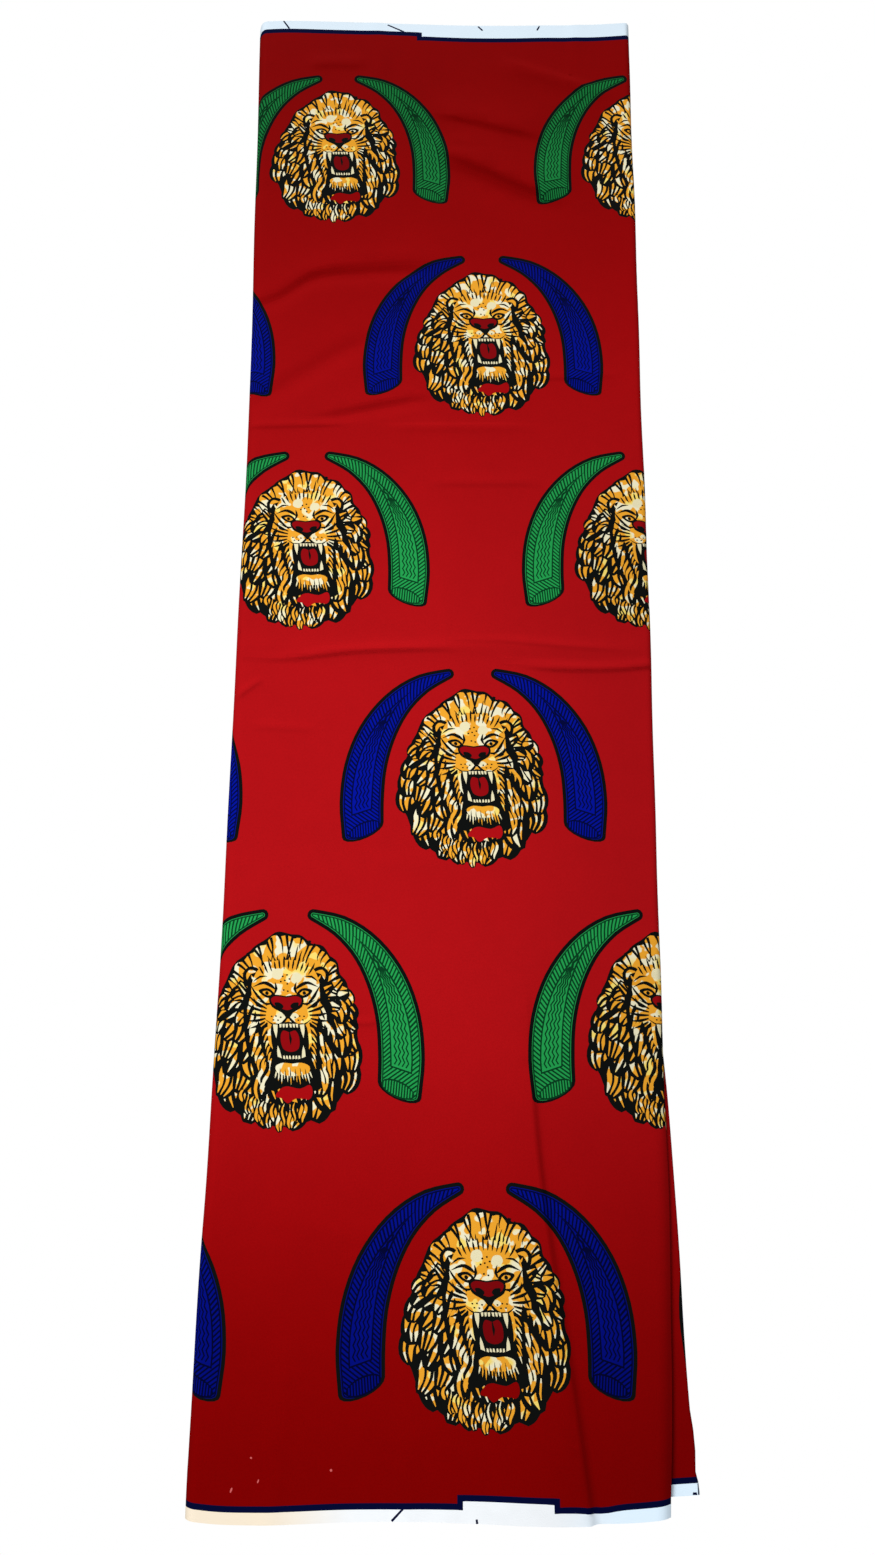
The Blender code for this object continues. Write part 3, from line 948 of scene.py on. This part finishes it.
def makeCloth(name, sheet):
    # one stretch of printed cloth: its face with the print, its inner face and the rim between them
    outline = clothOutline(sheet)
    left, right = min(p[0] for p in outline), max(p[0] for p in outline)
    # points all over, the lines of the bends and creases, the cuts of the map, and the print's own lines
    points = [(x, y) for x in evenly(left, right, meshing["gridAcross"])
              for y in evenly(5.0 - halfLength, halfLength - 5.0, meshing["gridAlong"])
              if insideBy(sheet, (x, y), 3.0)]
    segments = []
    for line in bendLines(sheet):
        segments += [(len(points) + i, len(points) + i + 1) for i in range(len(line) - 1)]
        points += line
    plainPoints, plainSegments = list(points), list(segments)
    for cut in sheet["cuts"]:
        segments.append((len(points), len(points) + 1))
        points += [(sheet["starts"](cut), cut), (sheet["stops"](cut), cut)]
    units = [(motif, unitX, unitY) for motif, unitX, unitY in sheet["units"]
             if unitX + motif.box[1] > left and unitX + motif.box[0] < right]
    for motif, unitX, unitY in units:
        first = len(points)
        points += [(x + unitX, y + unitY) for x, y in motif.points]
        for a, b in motif.segments:
            if any(left - 3 < points[first + i][0] < right + 3 for i in (a, b)):
                segments.append((first + a, first + b))
    bands = selvedgeBands(sheet) + sheet["marks"]
    builder = flatMesh([outline] + [band for _, band in bands], points, segments)
    # each face's ink, and its place on the real cloth and in the map
    ink = builder.faces.layers.float.new("ink")
    cloth = builder.loops.layers.uv.new("cloth")
    bake = builder.loops.layers.uv.new("OFBake")
    for face in builder.faces:
        centre = face.calc_center_median()
        number = face.material_index
        face[ink] = inkNames.index(bands[number - 1][0]) if number else inkOf(units, centre.x, centre.y)
        face.material_index = 0

    side, margin = sheet["mapSide"], meshing["mapMargin"]
    width = right - left + 2 * margin
    firsts = [min(p[1] for p in outline)] + list(sheet["cuts"])

    def mapPlace(x, y, strip):
        # the face lies in the map as strips side by side
        return ((x - left + margin + strip * width) / side, (y - firsts[strip] + margin) / side)

    def stripOf(y):
        return sum(y > cut for cut in sheet["cuts"])

    for face in builder.faces:
        strip = stripOf(face.calc_center_median().y)
        for corner in face.loops:
            x, y, _ = corner.vert.co
            corner[cloth].uv = (x * mm, y * mm)
            corner[bake].uv = mapPlace(x, y, strip)

    # the inner face has the same border and none of the print's points
    loop = borderLoop(builder)
    inside = [i for i, point in enumerate(plainPoints) if insideBy(sheet, point, 1.4)]
    kept = {old: new for new, old in enumerate(inside)}
    inner = flatMesh([[tuple(v.co.xy) for v in loop]], [plainPoints[i] for i in kept],
                     [(kept[a], kept[b]) for a, b in plainSegments if a in kept and b in kept])
    twins = {vert: builder.verts.new(sheet["wrap"](vert.co.y, vert.co.x, plyThick)) for vert in inner.verts}
    backU, backV, backScale = sheet["backPlace"]
    for face in inner.faces:
        back = builder.faces.new([twins[vert] for vert in reversed(face.verts)])
        x, y, _ = face.calc_center_median()
        if not sheet["near"](x) + meshing["whiteInside"] < y < sheet["far"](x) - meshing["whiteInside"]:
            back[ink] = inkNames.index("edge")
        for corner, vert in zip(back.loops, reversed(face.verts)):
            corner[cloth].uv = (vert.co.x * mm, vert.co.y * mm)
            corner[bake].uv = (backU + (vert.co.x - left) * backScale / side,
                               backV + (vert.co.y - firsts[0]) * backScale / side)
    # the rim joins each point of the border to its twin on the inner face
    sameSpot = {(round(vert.co.x, 3), round(vert.co.y, 3)): twins[vert] for vert in borderLoop(inner)}
    backs, twin = {}, None
    for vert in loop + loop:
        # where the inner face has lost a point, the one before it serves
        twin = sameSpot.get((round(vert.co.x, 3), round(vert.co.y, 3)), twin)
        backs[vert] = twin
    for before, a, b, after in zip(loop[-1:] + loop[:-1], loop, loop[1:] + loop[:1], loop[2:] + loop[:2]):
        face = next(face for face in a.link_faces if b in face.verts)
        strip = stripOf(face.calc_center_median().y)
        rim = builder.faces.new([b, a, backs[a], backs[b]][:3 if backs[a] is backs[b] else 4])
        rim[ink] = face[ink]
        for rimSide in rim.edges:
            rimSide.smooth = False
        sides = ((b, b), (a, a), (before, b), (a, after))
        for corner, vert, (first, last) in zip(rim.loops, (b, a, a, b), sides):
            way = last.co - first.co
            out = Vector((way.y, -way.x)).normalized() * 0.8
            corner[cloth].uv = (vert.co.x * mm, vert.co.y * mm)
            corner[bake].uv = mapPlace(vert.co.x + out.x, vert.co.y + out.y, strip)
    inner.free()
    for vert in set(builder.verts) - set(twins.values()):
        vert.co = sheet["wrap"](vert.co.y, vert.co.x)
    bmesh.ops.scale(builder, vec=(mm, mm, mm), verts=builder.verts)
    return finishPiece(name, builder, [clothMaterial])


def finishPiece(name, builder, materials):
    mesh = bpy.data.meshes.new(name)
    builder.to_mesh(mesh)
    builder.free()
    for material in materials:
        mesh.materials.append(material)
    mesh.shade_smooth()
    piece = bpy.data.objects.new(name, mesh)
    bpy.context.scene.collection.objects.link(piece)
    print(name, len(mesh.polygons), "faces,", len(mesh.vertices), "points")
    return piece


# The woven edges: how wide the white and the dark line are at each end, the raised boxes (from, to, how high)
# and the short dark strokes (across and share of the white, at both ends of a stroke)
selvedges = {
    "nearWhite": 7.2, "nearLine": 3.6, "nearBox": (10.15, 66.9, 4.9),
    "farWhite": 9.0, "farLine": 4.4, "farBox": (-19.5, 260.0, 4.4),
    "nearStrokes": ((-27.3, 1.0, -34.3, 0.05), (18.6, 0.35, 18.9, 0.0)),
    "farStrokes": ((-141.8, 0.0, -136.4, 0.95), (-49.8, 0.2, -35.2, 0.98), (30.0, 0.1, 34.0, 0.6),
                   (84.2, 0.1, 82.0, 0.6)),
    "nearDip": (97.0, 9.0, 1.8),  # where the near white narrows, over what reach, by how much
}
# Specks of lint on the near left: across, along, long, tall
lint = ((-123.3, -547.8, 0.7, 0.6), (-135.0, -565.9, 0.6, 1.6), (-118.3, -560.9, 0.5, 1.2),
        (-72.7, -554.8, 0.8, 0.8))


def selvedgeBands(sheet):
    # white and dark bands at both ends of a stretch, in painting order
    bands = []
    starts, stops = sheet["starts"](0.0) - 12.0, sheet["stops"](0.0) + 12.0
    dipAt, dipWide, dipDeep = selvedges["nearDip"]
    for end, curve, inward in (("near", sheet["near"], 1), ("far", sheet["far"], -1)):
        low, high, rise = selvedges[end + "Box"]
        white, line = selvedges[end + "White"], selvedges[end + "Line"]
        for ink, reach, side in (("line", white + line, line), ("edge", white, 0.0)):
            border = []
            for across in evenly(starts, stops, 5.0):
                place = across + sheet["shift"]
                drift = 0.35 * sin(place / 53.0) + 0.2 * sin(place / 19.0)
                if end == "near" and sheet["boxes"]:
                    drift -= dipDeep * exp(-((across - dipAt) / dipWide) ** 2)
                border.append((across, reach + drift))
            if sheet["boxes"]:
                corners = [low - side, low - side + 0.01, high + side - 0.01, high + side]
                border = [(x, w) for x, w in border if all(abs(x - corner) > 1.0 for corner in corners)]
                border = sorted(border + [(corner, reach) for corner in corners])
                border = [(x, w + (rise if corners[0] < x < corners[3] else 0.0)) for x, w in border]
            outer = [(x, curve(x) - 6.0 * inward) for x, _ in border[::-1]]
            bands.append((ink, [(x, curve(x) + w * inward) for x, w in border] + outer))
        if sheet["boxes"]:
            for x1, share1, x2, share2 in selvedges[end + "Strokes"]:
                stroke = [(x, curve(x) + inward * white * share, wide)
                          for x, share, wide in ((x1, share1, 1.3), (x2, share2, 1.5))]
                bands.append(("line", brush(stroke, steps=1)))
    return bands


# The print: rows of lions between tusks, each row half a repeat to the side of the last
printed = {"rowPitch": 182.2, "repeat": 265.0, "firstRow": -446.0, "coarse": 0.12}
# for each row from the near end: where one of its lions stands, and how far the row has slipped along
rowPlaces = ((25.75, 0.0), (-111.6, 1.0), (20.4, 0.0), (-108.8, 0.5), (31.0, 1.0), (-92.0, 2.9))


def printUnits(firstAcross, lastAcross, shiftAcross=0.0, shiftAlong=0.0):
    # every lion and tusk of a stretch: its drawing, across and along
    units = []
    for row, (place, slipped) in enumerate(rowPlaces):
        kinds = (lionMotif, *(greenTusks if row % 2 else blueTusks))
        for column in range(-3, 4):
            x = place + column * printed["repeat"] + shiftAcross
            if firstAcross - 110 < x < lastAcross + 110:
                y = printed["firstRow"] + row * printed["rowPitch"] + slipped + shiftAlong
                units += [(motif, x, y) for motif in kinds]
    return units


class Signal:
    # an output of a shader node; adding, multiplying or comparing signals makes Math nodes
    def __init__(self, tree, socket):
        self.tree = tree
        self.socket = socket

    def maths(self, operation, *others):
        return shaderNode(self.tree, "ShaderNodeMath", {"operation": operation}, (self, *others))

    def __add__(self, other):
        return self.maths("ADD", other)

    def __sub__(self, other):
        return self.maths("SUBTRACT", other)

    def __rsub__(self, other):
        return (self * -1.0) + other

    def __mul__(self, other):
        return self.maths("MULTIPLY", other)

    def between(self, low, high):
        # 0 at low and below, 1 at high and above, smooth between
        smooth = {"interpolation_type": "SMOOTHSTEP"}
        return shaderNode(self.tree, "ShaderNodeMapRange", smooth, (self, low, high))

    def isInk(self, *names):
        # 1 on faces with one of these inks, 0 elsewhere
        found = self.maths("COMPARE", inkNames.index(names[0]), 0.3)
        for name in names[1:]:
            found = found + self.maths("COMPARE", inkNames.index(name), 0.3)
        return found


def shaderNode(tree, kind, settings, inputs=(), output=0):
    # a node with its settings and its inputs, by order or by name; gives one of its outputs
    node = tree.nodes.new(kind)
    for key, value in settings.items():
        setattr(node, key, value)
    for key, value in (inputs.items() if isinstance(inputs, dict) else enumerate(inputs)):
        if isinstance(value, Signal):
            tree.links.new(value.socket, node.inputs[key])
        elif value is not None:
            node.inputs[key].default_value = value
    return Signal(tree, node.outputs[output])


def linear(colour):
    # an sRGB colour, 0 to 255, as the shader's linear values
    return (*(c / 255 / 12.92 if c <= 10 else ((c / 255 + 0.055) / 1.055) ** 2.4 for c in colour), 1.0)


def mixed(tree, amount, first, second, blend="MIX"):
    # a mix of two colours
    node = tree.nodes.new("ShaderNodeMix")
    node.data_type = "RGBA"
    node.blend_type = blend
    for socket, value in zip((node.inputs[0], node.inputs[6], node.inputs[7]), (amount, first, second)):
        if isinstance(value, Signal):
            tree.links.new(value.socket, socket)
        else:
            socket.default_value = value
    return Signal(tree, node.outputs[2])


# How the cotton looks. Blotches are wax bubbles; the shade values are painted shade, by how much the colour
# is darker at each end and at the right of the near half; creamy and bluish are the casts of the woven edge.
clothLook = {"roughness": 0.85, "specular": 0.02, "weave": 0.3, "blotches": 125.0, "blotchShare": 0.53,
             "blotchPale": (232, 206, 104), "blotchWhite": (224, 218, 186), "paintedShadeFar": 0.42,
             "paintedShadeNear": 0.5, "paintedShadeRight": 0.18, "creamy": (238, 224, 202), "bluish": (216, 234, 248)}


def printedMaterial(name, look):
    material = bpy.data.materials.new(name)
    material.use_nodes = True
    tree = material.node_tree
    tree.nodes.clear()
    place = shaderNode(tree, "ShaderNodeUVMap", {"uv_map": "cloth"})
    ink = shaderNode(tree, "ShaderNodeAttribute", {"attribute_name": "ink"}, output="Fac")

    def noise(scale, detail=2.0, rough=0.5):
        return shaderNode(tree, "ShaderNodeTexNoise", {"noise_dimensions": "2D"},
                          {"Vector": place, "Scale": scale, "Detail": detail, "Roughness": rough}, "Fac")

    # each face's ink number picks its colour from a ramp with room for 16
    share = ink * (1 / 16) + 1 / 32
    ramp = tree.nodes.new("ShaderNodeValToRGB")
    ramp.color_ramp.interpolation = "CONSTANT"
    elements = ramp.color_ramp.elements
    for number, inkName in enumerate(inkNames):
        element = elements[number] if number < 2 else elements.new(number / 16)
        element.position = number / 16
        element.color = linear(inks[inkName])
    tree.links.new(share.socket, ramp.inputs[0])
    colour = Signal(tree, ramp.outputs[0])

    # wax bubbles let the pale cloth through on the lions
    blotch = noise(look["blotches"], 1.5, 0.45)
    whiter = noise(look["blotches"] * 0.55, 1.0).between(0.34, 0.5)
    pale = mixed(tree, whiter, linear(look["blotchPale"]), linear(look["blotchWhite"]))
    amount = blotch.between(look["blotchShare"], look["blotchShare"] + 0.035) * ink.isInk("lion")
    colour = mixed(tree, amount, colour, pale)
    # the dye took unevenly everywhere, and in fine specks on the ground and the tusks
    depth = noise(14.0, 3.0, 0.6) * 0.10 + noise(90.0, 2.0, 0.6) * 0.06 + 0.92
    specks = noise(700.0, 1.0, 0.5).between(0.35, 0.65) * 0.05
    depth = depth + specks * ink.isInk("ground", "greenBright", "blueBright")
    # painted shade: the colour is darker at the right of the near half
    across = shaderNode(tree, "ShaderNodeSeparateXYZ", {}, (place,), output="X")
    along = Signal(tree, across.socket.node.outputs["Y"])
    shadeAtRight = across.between(-0.03, 0.16) * (along * -1.0).between(-0.24, -0.02)
    depth = depth * (1.0 - shadeAtRight * look["paintedShadeRight"])
    # and painted shade towards both selvedges: darker there, with the red of the ground purer, as it looks in
    # shade
    paintedEndShade = (along * -1.0).between(0.22, 0.60) * look["paintedShadeNear"]
    paintedEndShade = paintedEndShade + along.between(-0.05, 0.55) * look["paintedShadeFar"]
    paintedEndShade = paintedEndShade * ink.isInk("ground", "red", "blueBright", "blueDark", "greenBright", "greenDark")
    red = depth * (1.0 - paintedEndShade)
    other = red * (1.0 - paintedEndShade * 2.0 * ink.isInk("ground"))
    # the uneven dye with the painted shade over it
    dyeAndShade = shaderNode(tree, "ShaderNodeCombineColor", {}, (red, other, other))
    colour = mixed(tree, 1.0, colour, dyeAndShade, "MULTIPLY")
    # the woven edge is creamy at the near left, bluish at the near right and at the far end
    nearby = (along * -1.0).between(0.3, 0.4) * ink.isInk("edge")
    colour = mixed(tree, (across * -1.0).between(0.05, 0.12) * nearby, colour, linear(look["creamy"]))
    bluish = across.between(0.06, 0.12) * nearby + along.between(0.3, 0.4) * ink.isInk("edge") * 0.8
    colour = mixed(tree, bluish, colour, linear(look["bluish"]))

    weave = noise(1500.0, 0.0) * 0.6 + noise(420.0, 2.0) * 0.4
    bump = shaderNode(tree, "ShaderNodeBump", {},
                      {"Strength": look["weave"], "Distance": 0.0002, "Height": weave})
    shader = shaderNode(tree, "ShaderNodeBsdfPrincipled", {},
                        {"Base Color": colour, "Roughness": look["roughness"], "IOR": 1.45,
                         "Specular IOR Level": look["specular"], "Normal": bump})
    tree.links.new(shader.socket, tree.nodes.new("ShaderNodeOutputMaterial").inputs["Surface"])
    return material


def plainMaterial(name, colour, look):
    material = bpy.data.materials.new(name)
    material.use_nodes = True
    shader = material.node_tree.nodes["Principled BSDF"]
    shader.inputs["Base Color"].default_value = linear(colour)
    shader.inputs["Roughness"].default_value = look["roughness"]
    shader.inputs["Specular IOR Level"].default_value = look["specular"]
    return material


def tuskPair(hue):
    return [Motif(tusk(side, hue + "Bright", hue + "Dark"), printed["coarse"]) for side in (1, -1)]


print("drawing the print")
creaseLines = preparedCreases()
lionMotif = Motif(lionHead(), printed["coarse"])
greenTusks, blueTusks = tuskPair("green"), tuskPair("blue")
print("lion", len(lionMotif.points), "tusk", len(greenTusks[0].points))

clothMaterial = printedMaterial("printed_cotton", clothLook)


def alongFold(angle, edge, radius):
    return lambda along: edge(along) - radius + radius * angle


def alongSpine(angle):
    return lambda along: leftEdge(along) + spineRadius - spineRadius * angle


# Each stretch of printed cloth: how it wraps, its sides and ends when unrolled, the lines of its bends, how
# fine its ends are, how it lies in the map, its print, how its woven edges drift, whether they have the
# raised boxes, and the marks laid over all
outermost = {"wrap": wrapOuter, "near": upperEnd(True), "far": upperEnd(False), "cuts": (0.0,)}

print("top cloth")
topCloth = makeCloth("top_cloth", {
    **outermost, "starts": outerStarts, "stops": outerStops, "creased": True, "endPitch": 1.9,
    "bends": [alongSpine(pi * k / 13) for k in range(13)]
    + [alongFold(pi * k / 8, upperEdge, upperRadius) for k in range(-4, 9)],
    "mapSide": 765.0, "backPlace": (0.004, 0.80, 0.13), "units": printUnits(-185, 200),
    "shift": 0.0, "boxes": True, "marks": [("lint", oval(*speck, -20, 7)) for speck in lint],
})

print("under cloth")
underCloth = makeCloth("under_cloth", {
    **outermost, "starts": underStarts, "stops": outerStarts, "bends": [], "creased": False, "endPitch": 6.0,
    "mapSide": 700.0, "backPlace": (0.004, 0.86, 0.075), "units": printUnits(-490, -170),
    "shift": 200.0, "boxes": False, "marks": [],
})

print("lower cloth")
lowerNear = lowerEnd(True)
cornerStrokes = [("line", brush([(across, lowerNear(across) + 0.3, wide),
                                 (across, lowerNear(across) + tall, wide * 0.8)], steps=1))
                 for across, tall, wide in ((157.0, 1.8, 3.0), (159.4, 6.6, 1.0))]
lowerCloth = makeCloth("lower_cloth", {
    "wrap": wrapLower, "starts": lowerStarts, "stops": lowerStops, "near": lowerNear, "far": lowerEnd(False),
    "bends": [alongFold(pi * k / 7, lowerEdge, stack["lowerRadius"]) for k in range(8)],
    "creased": False, "endPitch": 1.6, "cuts": (0.0,), "mapSide": 600.0, "backPlace": (0.35, 0.01, 0.45),
    "units": printUnits(85, 175, 224.2, 19.5), "shift": 90.0, "boxes": False, "marks": cornerStrokes,
})

print("folded plies")
# Heights of the middle of each ply, from the table up
levels = (0.175, 0.975, 1.775, 2.575, 3.375, 4.525, 5.675, 6.825,
          7.475, 8.596, 9.718, 10.839, 11.961, 13.082, 14.204, 15.325)
# the hidden plies in two runs of the one cut: where a run starts and where it turns or ends, each with its
# level from there on
hiddenRuns = (
    (("tuck", 8), ("left", 7), ("panel", 7)),
    (("fold", 4), ("left", 11), ("right", 12), ("left", 3), ("low", 2), ("left", 13), ("right", 10),
     ("left", 5), ("lower", 6), ("left", 9), ("right", 14), ("left", 1), ("free", 1)),
)
# how far the runs' ends keep clear of the printed pieces, how far the low and the free ones stay in, how
# wide the dark line is, the further rows of points in from a selvedge, how much of the top's broad relief
# the plies follow, and how much lower they lie away from the selvedges
hidden = {"apart": 0.4, "lowIn": 2.6, "freeIn": 0.7, "line": 3.4, "rows": (22.0, 45.0, 80.0), "relief": 0.6,
          "lower": 1.5}


def runSection(run, along):
    # a run's line in the section at one station: across, height, level
    left, upper, lower = leftEdge(along), upperEdge(along), lowerEdge(along)
    apart = hidden["apart"]
    places = {
        "tuck": upper - stack["upperTuck"] - apart, "panel": lower - stack["lowerReach"] - apart,
        "fold": lower - stack["lowerTuck"] - apart, "left": left + spineRadius,
        "right": upper - upperRadius, "lower": lower - stack["lowerRadius"],
        "low": lower - hidden["lowIn"], "free": lower - stack["freeEndIn"] - hidden["freeIn"],
    }
    (first, level), rest = run[0], run[1:]
    points, across = [(places[first], levels[level], level)], places[first]
    for place, nextLevel in rest:
        target = places[place]
        pieces = 40 if level > 7 else 9
        points += [(across + (target - across) * k / pieces, levels[level], level) for k in range(1, pieces)]
        if place in ("panel", "free"):
            points.append((target, levels[level], level))
            break
        middle, radius = (levels[level] + levels[nextLevel]) / 2, abs(levels[nextLevel] - levels[level]) / 2
        rise, side = (1 if nextLevel > level else -1), (-1 if place == "left" else 1)
        for k in range(9):
            angle = pi * k / 8 - pi / 2
            points.append((target + side * radius * cos(angle), middle + rise * radius * sin(angle),
                           level + (nextLevel - level) * k / 8))
        across, level = target, nextLevel
    return points


def plyLift(across, along, level):
    # away from the selvedges the plies lie lower, clear of the narrow hollows of the top
    lift = relief(across, along, 50.0) * clear(7.0, 15.5, level) * hidden["relief"] if level > 8 else 0.0
    lift -= hidden["lower"] * clear(8.0, 45.0, halfLength - abs(along)) * clear(7.0, 14.5, level)
    return lift + plyWave(across, along, level)


def makePlies(name):
    builder = bmesh.new()
    white = selvedges["nearWhite"]
    rows = (0.0, white, white + hidden["line"], *hidden["rows"])
    stations = [("near", row) for row in rows] + [("share", share) for share in evenly(0.1, 0.9, 0.045)]
    stations += [("far", row) for row in rows[::-1]]
    for run in hiddenRuns:
        middle = runSection(run, 0.0)
        places = list(zip(middle, distances(middle)))
        sections = {}
        grid = []
        for kind, amount in stations:
            line = []
            for column, ((across, _, level), travelled) in enumerate(places):
                near, far = (nearUpper, farUpper) if level > 7.5 else (nearLower, farLower)
                low, high = near(across) + endDrift(travelled), far(across) - endDrift(travelled + 700.0)
                along = low + amount if kind == "near" else high - amount
                if kind == "share":
                    along = low + (high - low) * amount
                if round(along) not in sections:
                    sections[round(along)] = runSection(run, round(along))
                across, height, level = sections[round(along)][column]
                height = softened(across, along, height + plyLift(across, along, level))
                line.append(builder.verts.new((across, along, height)))
            grid.append(line)
        for r, (line, following) in enumerate(zip(grid, grid[1:])):
            # from either end white, then the dark line, then red
            slot = min(r, len(grid) - 2 - r, 2)
            for corners in zip(line, line[1:], following[1:], following):
                builder.faces.new(corners).material_index = slot
    bmesh.ops.recalc_face_normals(builder, faces=builder.faces)
    bmesh.ops.scale(builder, vec=(mm, mm, mm), verts=builder.verts)
    materials = [plainMaterial(slotName, inks[ink], clothLook) for slotName, ink in
                 (("woven_edge", "edge"), ("edge_line", "line"), ("red_cotton", "ground"))]
    plies = finishPiece(name, builder, materials)
    wall = plies.modifiers.new("Ply", "SOLIDIFY")
    wall.thickness = plyThick * mm
    wall.offset = 0.0
    return plies


def endDrift(travelled):
    # how far a ply's end stops short of the outermost one
    return 1.5 + 0.8 * sin(travelled / 190.0) + 0.45 * sin(travelled / 67.0)


def plyWave(across, along, level):
    # plies lie a little apart and wavy near the selvedges
    near = clear(90.0, 0.0, halfLength - abs(along))
    return 0.13 * near * sin(across / (21.0 + 1.7 * level) + 1.9 * level) if 0.5 < level < 14.5 else 0.0


foldedPlies = makePlies("folded_plies")

print("stage")
# Lengths of the stage are metres. The camera stands where the photo's perspective puts it.
stage = {
    "lens": 27.04, "cameraAt": (-0.00575, -0.328, 0.8385), "cameraTilt": 15.27,
    "table": (150, 146, 140), "tableReach": 3.0, "world": 0.38,
    "sky": 2.9, "skySoft": 14.0, "skyFrom": (-0.35, 1.17, 0.66),
    "window": 4.7, "windowWide": 0.5, "windowAt": (-0.2, -0.08, 0.95), "lightsAim": (0.0, -0.08, 0.0),
}
camera = bpy.data.objects.new("camera", bpy.data.cameras.new("camera"))
camera.data.lens = stage["lens"]
camera.location = stage["cameraAt"]
camera.rotation_euler = (radians(stage["cameraTilt"]), 0.0, 0.0)
bpy.context.scene.collection.objects.link(camera)
bpy.context.scene.camera = camera

floorMesh = bmesh.new()
bmesh.ops.create_grid(floorMesh, x_segments=1, y_segments=1, size=stage["tableReach"])
floorMaterial = plainMaterial("floor_white", stage["table"], {"roughness": 0.9, "specular": 0.0})
floor = finishPiece("floor", floorMesh, [floorMaterial])
# white to the camera, as in the photo, yet a plain table to the light
floorTree = floorMaterial.node_tree
table = Signal(floorTree, floorTree.nodes["Principled BSDF"].outputs[0])
seen = shaderNode(floorTree, "ShaderNodeLightPath", {}, output="Is Camera Ray")
white = shaderNode(floorTree, "ShaderNodeEmission", {}, {"Color": (1.0, 1.0, 1.0, 1.0), "Strength": 1.0})
cover = shaderNode(floorTree, "ShaderNodeMixShader", {}, (seen, table, white))
floorTree.links.new(cover.socket, floorTree.nodes["Material Output"].inputs["Surface"])

sky = bpy.data.lights.new("sky", "SUN")
sky.energy = stage["sky"]
sky.angle = radians(stage["skySoft"])
window = bpy.data.lights.new("window", "AREA")
window.shape = "DISK"
window.size = stage["windowWide"]
window.energy = stage["window"]
for light, place in ((sky, stage["skyFrom"]), (window, stage["windowAt"])):
    lamp = bpy.data.objects.new(light.name, light)
    lamp.location = place
    lamp.rotation_euler = (Vector(stage["lightsAim"]) - lamp.location).to_track_quat("-Z", "Y").to_euler()
    bpy.context.scene.collection.objects.link(lamp)

world = bpy.data.worlds.new("world")
bpy.context.scene.world = world
world.use_nodes = True
background = world.node_tree.nodes["Background"]
background.inputs["Color"].default_value = (1.0, 1.0, 1.0, 1.0)
background.inputs["Strength"].default_value = stage["world"]
bpy.context.scene.view_settings.view_transform = "Standard"

for piece, node in ((topCloth, "top_panel"), (underCloth, "top_panel"), (lowerCloth, "lower_panel"),
                    (foldedPlies, "folded_layers")):
    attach(piece, "root")
    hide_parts(node)
